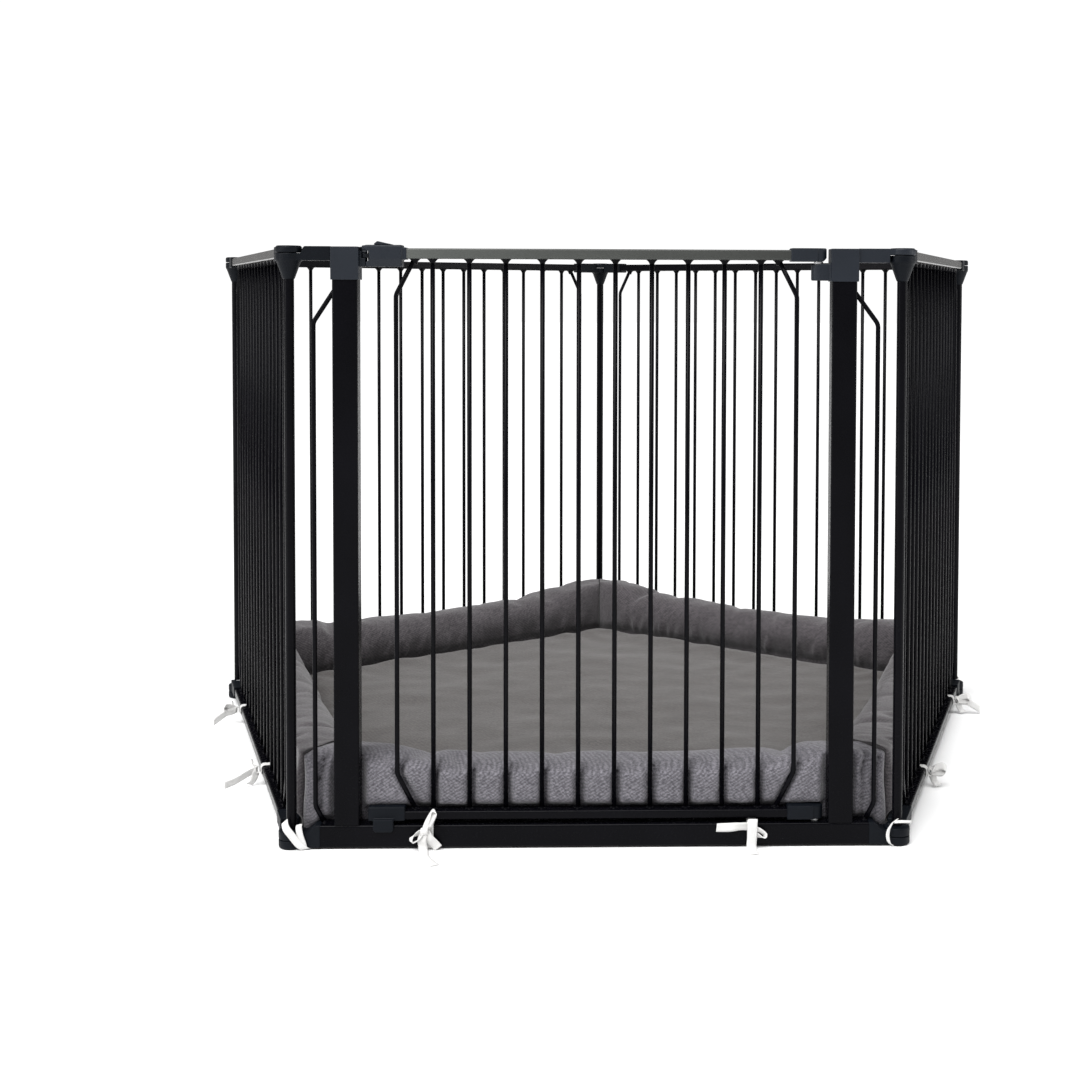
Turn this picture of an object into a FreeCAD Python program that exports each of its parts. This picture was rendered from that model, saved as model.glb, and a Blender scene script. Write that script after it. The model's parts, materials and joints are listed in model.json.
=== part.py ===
import FreeCAD, Part
import Sketcher
import math
import os
import re

# A five-sided pet pen gate that stands on the floor, in millimetres.
# Origin: the middle of the pen on the floor. +X to the right, +Y to the rear, +Z up.
# The front side holds the door. Every piece is drawn as it lies in the front side, with x along
# the side from its middle, y into the pen from the corner tube axes, and z up from the floor.
# Side number n is the same drawing turned by n fifths of a turn about the middle of the pen.
# Seen from outside, a side starts at its left corner and ends at its right corner.

DIMENSIONS = [
    ("side_length", 715, "corner axis to corner axis along one side"),
    ("top_height", 705, "top of the corner caps"),
    ("tube_radius", 6, "outside of the corner tube"),
    ("tube_wall", 1, "wall of the corner tube"),
    ("tube_bottom", 12, "lower end of the corner tube"),
    ("tube_top", 694, "upper end of the corner tube"),
    ("spigot_radius", 4.95, "hinge spigot in the tube"),
    ("bar_radius", 2.8, "upright bars"),
    ("rail_high", 12, "top and bottom rails, height"),
    ("rail_deep", 20, "top and bottom rails, depth"),
    ("rail_wall", 1.2, "wall of the rails"),
    ("rail_round", 2, "rounding of the rails' long edges"),
    ("rail_top", 702.3, "upper face of every top rail"),
    ("rail_inset", 22, "corner axis to the rail's end"),
    ("side_rail_bottom", 14, "lower face of a side's bottom rail"),
    ("bar_inset", 46, "corner axis to the bent end bar"),
    ("bar_gaps", 15, "gaps between the bars of a side"),
    ("bend_shift", 22, "how far a bent end bar moves towards the middle"),
    ("side_bend_rise", 40, "height of the slanted end of a bent bar"),
    ("hub_radius", 15.2, "corner hubs"),
    ("hub_clear", 15.8, "clearance round a hub"),
    ("hub_split", 696.4, "top of the lower hub"),
    ("hub_gap", 0.6, "gap between the lower hub and the cap"),
    ("cone_bottom", 666, "lower end of the cone"),
    ("cone_top", 688, "upper end of the cone"),
    ("cone_tip_radius", 6.9, "lower end of the cone"),
    ("arm_high", 15.7, "corner arms, height"),
    ("arm_deep", 22.4, "corner arms, depth"),
    ("arm_bottom", 688.6, "lower face of the top corner arms"),
    ("arm_reach", 52.3, "corner axis to the arm's end"),
    ("foot_split", 10.2, "top of the lower foot"),
    ("foot_high", 21, "top of the upper foot"),
    ("foot_web_bottom", 1, "lower face of the web under a foot arm"),
    ("foot_arm_bottom", 12, "lower face of the foot arms"),
    ("foot_arm_top", 28, "upper face of the foot arms"),
    ("floor_gap", 1.5, "threshold above the floor"),
    ("threshold_top", 28, "upper face of the threshold"),
    ("threshold_deep", 25, "depth of the threshold and the posts"),
    ("threshold_half", 322, "half the threshold's length"),
    ("frame_wall", 1.5, "wall of the threshold and the posts"),
    ("frame_round", 2.5, "rounding of the threshold's and the posts' long edges"),
    ("post_left", -291.3, "middle of the latch post"),
    ("post_right", 288.3, "middle of the hinge post"),
    ("post_wide", 29.4, "posts"),
    ("post_top", 700, "upper end of the posts"),
    ("cap_wide", 32.4, "post caps, width"),
    ("cap_deep", 28, "post caps, depth"),
    ("cap_bottom", 665.7, "post caps, lower edge"),
    ("cap_top", 704, "post caps, top"),
    ("filler_axis", 329.5, "upright run of the filler rods"),
    ("filler_foot", 318.5, "filler rod on the threshold"),
    ("filler_low_bend", 48, "lower bend of the filler rods"),
    ("filler_high_bend", 616, "upper bend of the filler rods"),
    ("filler_top", 652, "filler rod at the post"),
    ("door_pitch", 42.5, "spacing of the door's bars"),
    ("door_bars", 10, "straight bars of the door"),
    ("door_rail_bottom", 33.4, "lower face of the door's bottom rail"),
    ("door_rail_low_high", 10.2, "height of the door's bottom rail"),
    ("door_rail_end", 240, "door rails reach this far from the middle"),
    ("door_end_bar", 233.75, "upright run of the door's bent bars"),
    ("door_bend_rise", 42, "height of the slanted end of the door's bent bars"),
    ("hinge_axis", 258.8, "door hinge axis"),
    ("pin_radius", 2.95, "hinge pins"),
    ("bore_radius", 3, "bores for the hinge pins"),
    ("hinge_left", 225.5, "left end of the hinge sleeve and shoe"),
    ("hinge_half_deep", 11, "half the depth of the hinge sleeve and shoe"),
    ("hinge_nose", 9.4, "rounded end of the hinge sleeve and shoe"),
    ("sleeve_bottom", 688.8, "hinge sleeve, lower face"),
    ("sleeve_top", 704.5, "hinge sleeve, top"),
    ("block_bottom", 666.7, "hinge block on the post cap, lower face"),
    ("block_top", 686, "hinge block on the post cap, top"),
    ("block_radius", 8.7, "hinge block, rounded side"),
    ("shoe_bottom", 31.5, "hinge shoe, lower face"),
    ("shoe_top", 47.4, "hinge shoe, top"),
    ("latch_left", -262.9, "latch housing, left face"),
    ("latch_lip", -268.7, "end of the latch housing's upper lip"),
    ("latch_low_lip", -267.2, "end of the latch housing's lower lip"),
    ("latch_right", -225.6, "latch housing, right face"),
    ("collar_right", -220.4, "latch housing, end of the collar"),
    ("latch_bottom", 680.9, "latch housing, lower face"),
    ("latch_top", 706.1, "latch housing, top"),
    ("latch_half_deep", 13, "half the depth of the latch housing"),
    ("keeper_left", -275.2, "keeper, where it meets the post cap"),
    ("keeper_right", -267.7, "keeper, right face"),
    ("keeper_bottom", 687.3, "keeper, lower face"),
    ("keeper_top", 698.3, "keeper, top"),
    ("bolt_tip", -272, "end of the latch bolt"),
    ("bolt_end", -252, "inner end of the latch bolt"),
    ("bolt_bottom", 691, "latch bolt, lower face"),
    ("bolt_top", 696.4, "latch bolt, top"),
    ("bolt_half", 3.5, "half the width of the latch bolt"),
    ("spring_end", -236.2, "fixed end of the latch spring"),
    ("spring_radius", 1.9, "latch spring, middle of the wire"),
    ("wire_radius", 0.3, "latch spring wire"),
    ("mat_high", 40, "base pad of the mat"),
    ("bumper_high", 104, "bumper roll round the mat"),
    ("bumper_out", 14, "bumper's outer face from the corner axes"),
    ("bumper_in", 68, "bumper's inner face from the corner axes"),
    ("mat_gap", 0.6, "gap between the mat's pieces"),
    ("tape_wide", 11, "width of the cotton tape"),
    ("tape_thick", 0.8, "thickness of the cotton tape"),
    ("tape_gap", 0.3, "slack of a tape loop"),
]

doc = FreeCAD.newDocument("pet_gate")
sheet = doc.addObject("Spreadsheet::Sheet", "dims")
ALIASES = []
for row, (alias, number, meaning) in enumerate(DIMENSIONS, start=1):
    sheet.set(f"A{row}", str(number))
    sheet.setAlias(f"A{row}", alias)
    sheet.set(f"B{row}", meaning)
    ALIASES.append(alias)
doc.recompute()

SCRATCH_CELL = "D1"
TOLERANCE = 0.01
TURN = 72.0
FRONT, RIGHT, REAR_RIGHT, REAR_LEFT, LEFT = range(5)
SIDE_NAMES = {RIGHT: "right_side", REAR_RIGHT: "rear_right", REAR_LEFT: "rear_left", LEFT: "left_side"}
START = "-side_length / 2"
END = "side_length / 2"
BAR_PITCH = "( side_length - 2 * bar_inset ) / bar_gaps"
pieces = []


# ---- sheet and document helpers -------------------------------------------------------------

def value(formula):
    """The number a formula of the sheet's names gives."""
    sheet.set(SCRATCH_CELL, f"={formula}")
    sheet.recompute()
    return float(sheet.get(SCRATCH_CELL))


def linked(formula):
    """The same formula with every sheet name written as dims.name, for another object's use."""
    return re.sub("[a-z_]+", lambda word: ("dims." if word[0] in ALIASES else "") + word[0], formula)


def bind(obj, prop, formula):
    obj.setExpression(prop, linked(formula))


APOTHEM = value("side_length / 2") / math.tan(math.radians(36.0))


def side_placement(side):
    """From the drawing of the front side to its place as side number `side` of the pen."""
    turn = FreeCAD.Rotation(FreeCAD.Vector(0, 0, 1), TURN * side)
    return FreeCAD.Placement(turn.multVec(FreeCAD.Vector(0, -APOTHEM, 0)), turn)


def box(x, y, z):
    """A box; x, y and z are (low, high) pairs of formulas."""
    solid = doc.addObject("Part::Box", "box")
    for size, axis, (low, high) in (("Length", "x", x), ("Width", "y", y), ("Height", "z", z)):
        bind(solid, size, f"({high}) - ({low})")
        bind(solid, f"Placement.Base.{axis}", low)
    return solid


def cylinder(radius, z, x="0", y="0"):
    """An upright cylinder; z is a (low, high) pair of formulas."""
    solid = doc.addObject("Part::Cylinder", "cylinder")
    bind(solid, "Radius", radius)
    bind(solid, "Height", f"({z[1]}) - ({z[0]})")
    for axis, place in (("x", x), ("y", y), ("z", z[0])):
        bind(solid, f"Placement.Base.{axis}", place)
    return solid


def cone(low_radius, high_radius, z, x="0"):
    solid = doc.addObject("Part::Cone", "cone")
    bind(solid, "Radius1", low_radius)
    bind(solid, "Radius2", high_radius)
    bind(solid, "Height", f"({z[1]}) - ({z[0]})")
    bind(solid, "Placement.Base.x", x)
    bind(solid, "Placement.Base.z", z[0])
    return solid


def fuse(*solids):
    if len(solids) == 1:
        return solids[0]
    joined = doc.addObject("Part::MultiFuse", "fuse")
    joined.Shapes = list(solids)
    joined.Refine = True
    return joined


def cut(base, *tools):
    result = doc.addObject("Part::Cut", "cut")
    result.Base = base
    result.Tool = fuse(*tools)
    result.Refine = True
    return result


def group(*solids):
    """Separate solids that share one node."""
    compound = doc.addObject("Part::Compound", "group")
    compound.Links = list(solids)
    return compound


def piece(label, obj, side=FRONT):
    """Names a finished sub-part and turns it to its side of the pen."""
    if obj.TypeId in ("Part::Box", "Part::Cylinder", "Part::Wedge"):
        obj = group(obj)
    obj.Label = label
    obj.Placement = side_placement(side)
    pieces.append(obj)
    return obj


def outline(sketch, points):
    """A closed outline of straight lines, each corner held by two formulas."""
    numbers = [(value(across), value(up)) for across, up in points]
    first = sketch.GeometryCount
    count = len(points)
    for index, (across, up) in enumerate(numbers):
        next_across, next_up = numbers[(index + 1) % count]
        start = FreeCAD.Vector(across, up, 0)
        end = FreeCAD.Vector(next_across, next_up, 0)
        sketch.addGeometry(Part.LineSegment(start, end), False)
    for index in range(count):
        line, after = first + index, first + (index + 1) % count
        sketch.addConstraint(Sketcher.Constraint("Coincident", line, 2, after, 1))
    for index, formulas in enumerate(points):
        for kind, formula, number in zip(("DistanceX", "DistanceY"), formulas, numbers[index]):
            place = sketch.addConstraint(Sketcher.Constraint(kind, -1, 1, first + index, 1, number))
            bind(sketch, f"Constraints[{place}]", formula)


def outer_long_edges(shape):
    """Names of the four edges that run along a rectangular tube's outer corners."""
    middle = shape.BoundBox.Center
    full_length = max(edge.Length for edge in shape.Edges)
    reach = {}
    for number, edge in enumerate(shape.Edges, start=1):
        if edge.Length > full_length - TOLERANCE:
            reach[f"Edge{number}"] = (edge.CenterOfMass - middle).Length
    return [name for name, distance in reach.items() if distance > max(reach.values()) - TOLERANCE]


def pad(plane, outlines, length, symmetric=False, rounding=None):
    """A PartDesign body: one pad of the outlines, the first outside and the others holes in it."""
    body = doc.addObject("PartDesign::Body", "body")
    sketch = body.newObject("Sketcher::SketchObject", "sketch")
    origin_plane = next(item for item in body.Origin.OriginFeatures if item.Role == plane)
    sketch.AttachmentSupport = [(origin_plane, "")]
    sketch.MapMode = "FlatFace"
    for points in outlines:
        outline(sketch, points)
    feature = body.newObject("PartDesign::Pad", "pad")
    feature.Profile = sketch
    bind(feature, "Length", length)
    if symmetric:
        feature.SideType = "Symmetric"
    if rounding:
        doc.recompute([sketch, feature])
        fillet = body.newObject("PartDesign::Fillet", "fillet")
        fillet.Base = (feature, outer_long_edges(feature.Shape))
        bind(fillet, "Radius", rounding)
    return body


def rectangle(across, up):
    (left, right), (low, high) = across, up
    return [(left, low), (right, low), (right, high), (left, high)]


def tube_section(half_across, low, high, wall):
    """Outer and inner outlines of a rectangular tube."""
    outer = rectangle((f"-( {half_across} )", half_across), (low, high))
    inner_half = f"{half_across} - {wall}"
    inner = rectangle((f"-( {inner_half} )", inner_half), (f"{low} + {wall}", f"{high} - {wall}"))
    return [outer, inner]


def rail(low, high, x_start, length):
    """A hollow rectangular rail along x."""
    section = tube_section("rail_deep / 2", low, high, "rail_wall")
    body = pad("YZ_Plane", section, length, rounding="rail_round")
    body.Placement.Base.x = value(x_start)
    return group(body)


def slanted_bar(start, end):
    """A round bar between two points, each an (x, z) pair of formulas, in the plane y = 0."""
    (x_start, z_start), (x_end, z_end) = start, end
    rise = (value(x_end) - value(x_start), 0, value(z_end) - value(z_start))
    solid = doc.addObject("Part::Cylinder", "slanted_bar")
    bind(solid, "Radius", "bar_radius")
    run = f"( ( {x_end} ) - ( {x_start} ) )"
    climb = f"( ( {z_end} ) - ( {z_start} ) )"
    bind(solid, "Height", f"sqrt( {run} * {run} + {climb} * {climb} )")
    turn = FreeCAD.Rotation(FreeCAD.Vector(0, 0, 1), FreeCAD.Vector(*rise))
    solid.Placement = FreeCAD.Placement(FreeCAD.Vector(value(x_start), 0, value(z_start)), turn)
    return solid


def elbow(x, z):
    ball = doc.addObject("Part::Sphere", "elbow")
    bind(ball, "Radius", "bar_radius")
    bind(ball, "Placement.Base.x", x)
    bind(ball, "Placement.Base.z", z)
    return ball


def bent_bar(points, trim_low, trim_high):
    """A bar bent at its inner points; its ends are cut level at two heights."""
    runs = [slanted_bar(start, end) for start, end in zip(points, points[1:])]
    bends = [elbow(x, z) for x, z in points[1:-1]]
    across = ("-side_length", "side_length")
    deep = ("-rail_deep", "rail_deep")
    below = box(across, deep, (f"{trim_low} - 4 * bar_radius", trim_low))
    above = box(across, deep, (trim_high, f"{trim_high} + 4 * bar_radius"))
    return cut(fuse(*runs, *bends), below, above)


# ---- corner hardware --------------------------------------------------------------------------

def rail_socket(x, low, high):
    """The space that a rail's end fills inside an arm."""
    return box(x, ("-rail_deep / 2", "rail_deep / 2"), (low, high))


def arm(x, z):
    return box(x, ("-arm_deep / 2", "arm_deep / 2"), z)


def cone_connector(arm_end, with_rail):
    """Lower half of a top corner: hub, cone and arm at the side's start."""
    hub = cylinder("hub_radius", ("cone_top", "hub_split"), START)
    taper = cone("cone_tip_radius", "hub_radius", ("cone_bottom", "cone_top"), START)
    beam = cut(arm((START, arm_end), ("arm_bottom", "arm_bottom + arm_high")),
               cylinder("hub_clear", ("hub_split", "top_height + 1"), START))
    hollows = [cylinder("tube_radius", ("cone_bottom - 1", "tube_top"), START),
               cylinder("spigot_radius + 0.05", ("tube_top - 1", "hub_split + 1"), START)]
    if with_rail:
        inside = (f"{START} + rail_inset", f"{arm_end} + 1")
        hollows.append(rail_socket(inside, "rail_top - rail_high", "rail_top"))
    return cut(fuse(hub, taper, beam), *hollows)


def cap_connector(arm_end, with_rail, with_spigot=True):
    """Upper half of a top corner: cap, hinge spigot and arm at the side's end."""
    under = "hub_split + hub_gap"
    rim = "top_height - 1"
    beam = cut(arm((arm_end, END), ("arm_bottom", "arm_bottom + arm_high")),
               cylinder("hub_clear", ("arm_bottom - 1", under), END))
    solids = [cylinder("hub_radius", (under, rim), END),
              cone("hub_radius", "hub_radius - 1", (rim, "top_height"), END), beam]
    if with_spigot:
        solids.append(cylinder("spigot_radius", ("cone_bottom + 6", f"{under} + 1"), END))
    connector = fuse(*solids)
    if not with_rail:
        return connector
    inside = (f"{arm_end} - 1", f"{END} - rail_inset")
    return cut(connector, rail_socket(inside, "rail_top - rail_high", "rail_top"))


def foot_bores():
    return [cylinder("tube_radius", ("tube_bottom", "foot_arm_top + 1"), START),
            cylinder("spigot_radius + 0.05", ("foot_split", "tube_bottom + 1"), START)]


def start_foot():
    """Upper half of a foot, round the corner tube, with its arm."""
    hub = cylinder("hub_radius", ("foot_split + hub_gap", "foot_high"), START)
    beam = arm((START, f"{START} + arm_reach"), ("foot_arm_bottom", "foot_arm_top"))
    inside = (f"{START} + rail_inset", f"{START} + arm_reach + 1")
    socket = rail_socket(inside, "side_rail_bottom", "side_rail_bottom + rail_high")
    return cut(fuse(hub, beam), socket, *foot_bores())


def end_foot(with_spigot=True):
    """Lower half of a foot, with the spigot that turns in the corner tube, and its arm."""
    solids = [cylinder("hub_radius", ("0", "foot_split"), END)]
    if with_spigot:
        solids.append(cylinder("spigot_radius", ("foot_split - 1", "foot_split + 30"), END))
    web = arm((f"{END} - arm_reach / 2", END), ("foot_web_bottom", "foot_arm_bottom + 1"))
    beam = arm((f"{END} - arm_reach", END), ("foot_arm_bottom", "foot_arm_top"))
    clear = cylinder("hub_clear", ("foot_split", "foot_arm_top + 1"), END)
    inside = (f"{END} - arm_reach - 1", f"{END} - rail_inset")
    socket = rail_socket(inside, "side_rail_bottom", "side_rail_bottom + rail_high")
    return fuse(*solids, cut(fuse(web, beam), clear, socket))


def corner_tube(x):
    return cut(cylinder("tube_radius", ("tube_bottom", "tube_top"), x),
               cylinder("tube_radius - tube_wall", ("tube_bottom - 1", "tube_top + 1"), x))


# ---- a plain side of the pen --------------------------------------------------------------------

def side_bars():
    """Straight bars and, at both ends, a bar bent inwards to clear the corner hardware."""
    low, high = "side_rail_bottom + rail_high", "rail_top - rail_high"
    solids = []
    gaps = int(value("bar_gaps"))
    for count in range(1, gaps):
        solids.append(cylinder("bar_radius", (low, high), f"{START} + bar_inset + {count} * {BAR_PITCH}"))
    for sign, corner in (("+", START), ("-", END)):
        upright = f"{corner} {sign} bar_inset"
        shifted = f"{upright} {sign} bend_shift"
        points = [(shifted, f"{low} - 1"), (upright, f"{low} + side_bend_rise"),
                  (upright, f"{high} - side_bend_rise"), (shifted, f"{high} + 1")]
        solids.append(bent_bar(points, low, high))
    return group(*solids)


def plain_side(side):
    name = SIDE_NAMES[side]
    inner_length = "side_length - 2 * rail_inset"
    rail_start = f"{START} + rail_inset"
    # The rear corner is the one where the pen is opened out, so it has no spigots.
    hinged = side != REAR_RIGHT
    piece(f"{name}_top_rail", rail("rail_top - rail_high", "rail_top", rail_start, inner_length), side)
    bottom = rail("side_rail_bottom", "side_rail_bottom + rail_high", rail_start, inner_length)
    piece(f"{name}_bottom_rail", bottom, side)
    piece(f"{name}_bars", side_bars(), side)
    piece(f"{name}_corner_tube", corner_tube(START), side)
    piece(f"{name}_cone_connector", cone_connector(f"{START} + arm_reach", True), side)
    piece(f"{name}_cap_connector", cap_connector(f"{END} - arm_reach", True, hinged), side)
    piece(f"{name}_start_foot", start_foot(), side)
    piece(f"{name}_end_foot", end_foot(hinged), side)


# ---- the front frame ----------------------------------------------------------------------------

def threshold():
    """Hollow bar across the doorway, drilled for the lower hinge pin."""
    section = tube_section("threshold_deep / 2", "floor_gap", "threshold_top", "frame_wall")
    body = pad("YZ_Plane", section, "2 * threshold_half", rounding="frame_round")
    body.Placement.Base.x = value("-threshold_half")
    drill = cylinder("bore_radius", ("threshold_top - 2 * frame_wall", "threshold_top + 1"), "hinge_axis")
    return cut(body, drill)


def post(x):
    """Hollow upright that stands on the threshold."""
    half, deep = "post_wide / 2", "threshold_deep / 2"
    outer = rectangle((f"-{half}", half), (f"-{deep}", deep))
    inner = rectangle((f"-{half} + frame_wall", f"{half} - frame_wall"),
                      (f"-{deep} + frame_wall", f"{deep} - frame_wall"))
    body = pad("XY_Plane", [outer, inner], "post_top - threshold_top", rounding="frame_round")
    body.Placement.Base = FreeCAD.Vector(value(x), 0, value("threshold_top"))
    return group(body)


def post_cap(x):
    """Cap over the post's upper end."""
    shell = box((f"{x} - cap_wide / 2", f"{x} + cap_wide / 2"), ("-cap_deep / 2", "cap_deep / 2"),
                ("cap_bottom", "cap_top"))
    post_space = box((f"{x} - post_wide / 2", f"{x} + post_wide / 2"),
                     ("-threshold_deep / 2", "threshold_deep / 2"), ("cap_bottom - 1", "post_top"))
    return cut(shell, post_space)


def keeper():
    """Ledge and back stop that the latch bolt rests in, open above and to the front."""
    block = box(("keeper_left", "keeper_right"), ("-bolt_half - 3", "bolt_half + 5"),
                ("keeper_bottom", "keeper_top"))
    seat = box(("bolt_tip - 0.6", "keeper_right + 1"), ("-bolt_half - 4", "bolt_half + 0.4"),
               ("bolt_bottom - 0.3", "keeper_top + 1"))
    return cut(block, seat)


def hinge_block():
    """Rounded lug on the hinge post's cap with the bore for the upper hinge pin."""
    span = ("block_bottom", "block_top")
    lug = fuse(cylinder("block_radius", span, "hinge_axis"),
               box(("hinge_axis", "post_right - cap_wide / 2 + 0.5"), ("-block_radius", "block_radius"),
                   span))
    return cut(lug, cylinder("bore_radius", ("block_bottom - 1", "block_top + 1"), "hinge_axis"))


def filler_rods():
    """Bent rods that close the gaps between the posts and the corner tubes."""
    rods = []
    for sign, post_x, reach in (("-", "post_left", "- post_wide / 2"),
                                ("", "post_right", "+ post_wide / 2")):
        upright = f"{sign} filler_axis"
        at_post = f"{post_x} {reach}"
        points = [(f"{sign} filler_foot", "threshold_top - 1"), (upright, "filler_low_bend"),
                  (upright, "filler_high_bend"), (at_post, "filler_top")]
        rod = bent_bar(points, "threshold_top", "filler_top + 3 * bar_radius")
        post_space = box((f"{post_x} - post_wide / 2", f"{post_x} + post_wide / 2"),
                         ("-rail_deep", "rail_deep"), ("threshold_top", "top_height"))
        rods.append(cut(rod, post_space))
    return group(*rods)


def wedge_end(sign):
    """Sloped plastic end of the threshold that runs down to the foot."""
    far, near = f"{sign} ( side_length / 2 - 12 )", f"{sign} threshold_half"
    points = [(far, "floor_gap"), (near, "floor_gap"), (near, "threshold_top"),
              (f"{sign} ( threshold_half + 6 )", "threshold_top"),
              (f"{sign} ( threshold_half + 17 )", "foot_high - 2.5"), (far, "foot_high - 2.5")]
    return pad("XZ_Plane", [points], "threshold_deep", symmetric=True)


def front_start_foot():
    hub = cylinder("hub_radius", ("foot_split + hub_gap", "foot_high"), START)
    clear = cylinder("hub_clear", ("-1", "foot_split + hub_gap"), START)
    return cut(fuse(hub, cut(wedge_end("-"), clear)), *foot_bores())


def front_end_foot():
    hub = cylinder("hub_radius", ("0", "foot_split"), END)
    spigot = cylinder("spigot_radius", ("foot_split - 1", "foot_split + 30"), END)
    clear = cylinder("hub_clear", ("foot_split", "foot_arm_top + 1"), END)
    return fuse(hub, spigot, cut(wedge_end(""), clear))


def front_frame():
    piece("threshold_bar", threshold())
    piece("latch_post", post("post_left"))
    piece("hinge_post", post("post_right"))
    piece("latch_post_cap", fuse(post_cap("post_left"), keeper()))
    piece("hinge_post_cap", fuse(post_cap("post_right"), hinge_block()))
    piece("filler_rods", filler_rods())
    piece("front_corner_tube", corner_tube(START))
    piece("front_cone_connector", cone_connector("post_left - cap_wide / 2", False))
    piece("front_cap_connector", cap_connector("post_right + cap_wide / 2", False))
    piece("front_start_foot", front_start_foot())
    piece("front_end_foot", front_end_foot())


# ---- the door -----------------------------------------------------------------------------------

def hinge_pins():
    """Two pins that turn in the frame; the door turns with them and slides up them."""
    collar = "bore_radius + 2.3"
    upper = fuse(cylinder("pin_radius", ("block_bottom + 1", "sleeve_top - 1.7"), "hinge_axis"),
                 cylinder(collar, ("block_top + 0.2", "sleeve_bottom - 0.2"), "hinge_axis"))
    lower = fuse(cylinder("pin_radius", ("threshold_top - 8", "shoe_top - 1.4"), "hinge_axis"),
                 cylinder(collar, ("threshold_top + 0.2", "shoe_bottom - 0.2"), "hinge_axis"))
    return group(upper, lower)


def hinge_holder(low, high, rail_low, rail_high):
    """Plastic end of a door rail that turns on a hinge pin."""
    span = (low, high)
    block = box(("hinge_left", "hinge_axis - 3"), ("-hinge_half_deep", "hinge_half_deep"), span)
    nose = fuse(cylinder("hinge_nose", span, "hinge_axis"),
                box(("hinge_axis - 4", "hinge_axis"), ("-hinge_nose", "hinge_nose"), span))
    bore = cylinder("bore_radius", (f"{low} - 1", f"{high} - 1.2"), "hinge_axis")
    socket = box(("hinge_left - 1", "door_rail_end"), ("-rail_deep / 2", "rail_deep / 2"),
                 (rail_low, rail_high))
    return cut(fuse(block, nose), bore, socket)


def latch_housing():
    """Housing on the door's upper corner, open on the left for the bolt and above for the slider."""
    deep = ("-latch_half_deep", "latch_half_deep")
    low_lip, high_lip = "latch_bottom + 5", "latch_top - 6.5"
    body = fuse(box(("latch_left", "latch_right"), deep, ("latch_bottom", "latch_top")),
                box(("latch_low_lip", "latch_left + 1"), deep, ("latch_bottom", low_lip)),
                box(("latch_lip", "latch_left + 1"), deep, (high_lip, "latch_top")),
                box(("latch_right - 1", "collar_right"), ("-hinge_half_deep", "hinge_half_deep"),
                    ("rail_top - rail_high - 1", "rail_top + 1")))
    channel = box(("latch_left - 1", "spring_end"), ("-bolt_half - 0.3", "bolt_half + 0.3"),
                  ("bolt_bottom - 0.3", "bolt_top + 0.3"))
    slot = box(("bolt_end - 6", "bolt_end + 12"), ("-bolt_half + 0.7", "bolt_half - 0.7"),
               ("bolt_top", "latch_top + 1"))
    socket = box(("-door_rail_end + 6", "collar_right + 1"), ("-rail_deep / 2", "rail_deep / 2"),
                 ("rail_top - rail_high", "rail_top"))
    return cut(body, channel, slot, socket)


def latch_slider():
    """Bolt, stem and thumb piece in one."""
    bolt = box(("bolt_tip", "bolt_end"), ("-bolt_half", "bolt_half"), ("bolt_bottom", "bolt_top"))
    stem = box(("bolt_end - 5.7", "bolt_end"), ("-bolt_half + 1", "bolt_half - 1"),
               ("bolt_top - 1", "latch_top + 1"))
    grip = [("bolt_end - 5.9", "latch_top + 0.2"), ("bolt_end - 2", "latch_top + 4.2"),
            ("bolt_end + 4", "latch_top + 3.8"), ("bolt_end + 14.8", "latch_top + 0.6"),
            ("bolt_end + 14.8", "latch_top + 0.2")]
    thumb = pad("XZ_Plane", [grip], "14", symmetric=True)
    return fuse(bolt, stem, thumb)


def latch_spring():
    """Coil spring that pushes the bolt out."""
    coils = 7
    length = value("spring_end - bolt_end") - 4 * value("wire_radius")
    helix = doc.addObject("Part::Helix", "spring_path")
    helix.Pitch = length / coils
    helix.Height = length
    bind(helix, "Radius", "spring_radius")
    wire = doc.addObject("Part::Circle", "spring_wire")
    bind(wire, "Radius", "wire_radius")
    wire.Placement = FreeCAD.Placement(FreeCAD.Vector(value("spring_radius"), 0, 0),
                                       FreeCAD.Rotation(FreeCAD.Vector(1, 0, 0), 90))
    sweep = doc.addObject("Part::Sweep", "spring_sweep")
    sweep.Sections = [wire]
    sweep.Spine = (helix, [])
    sweep.Solid = True
    sweep.Frenet = True
    middle = (value("bolt_bottom") + value("bolt_top")) / 2
    start = value("bolt_end") + 2 * value("wire_radius")
    sweep.Placement = FreeCAD.Placement(FreeCAD.Vector(start, 0, middle),
                                        FreeCAD.Rotation(FreeCAD.Vector(0, 1, 0), 90))
    return group(sweep)


def latch_shoe():
    """Lower left end of the door, with a tab in front of the threshold."""
    shoe = box(("latch_left - 3.4", "latch_right + 2"), ("-hinge_half_deep", "hinge_half_deep"),
               ("door_rail_bottom - 0.7", "shoe_top + 1.4"))
    tab = box(("latch_left + 2.6", "latch_left + 26.6"), ("-threshold_deep / 2 - 3.5",
              "-threshold_deep / 2 - 0.5"), ("threshold_top - 7.2", "door_rail_bottom + 2"))
    bridge = box(("latch_left + 2.6", "latch_left + 26.6"), ("-threshold_deep / 2 - 3.5", "0"),
                 ("door_rail_bottom - 0.7", "door_rail_bottom + 2"))
    socket = box(("-door_rail_end", "latch_right + 3"), ("-rail_deep / 2", "rail_deep / 2"),
                 ("door_rail_bottom", "door_rail_bottom + door_rail_low_high"))
    return cut(fuse(shoe, tab, bridge), socket)


def door_bars():
    low, high = "door_rail_bottom + door_rail_low_high", "rail_top - rail_high"
    count = int(value("door_bars"))
    return group(*[cylinder("bar_radius", (low, high), f"door_pitch * ( {index} - ( door_bars - 1 ) / 2 )")
                   for index in range(count)])


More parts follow.
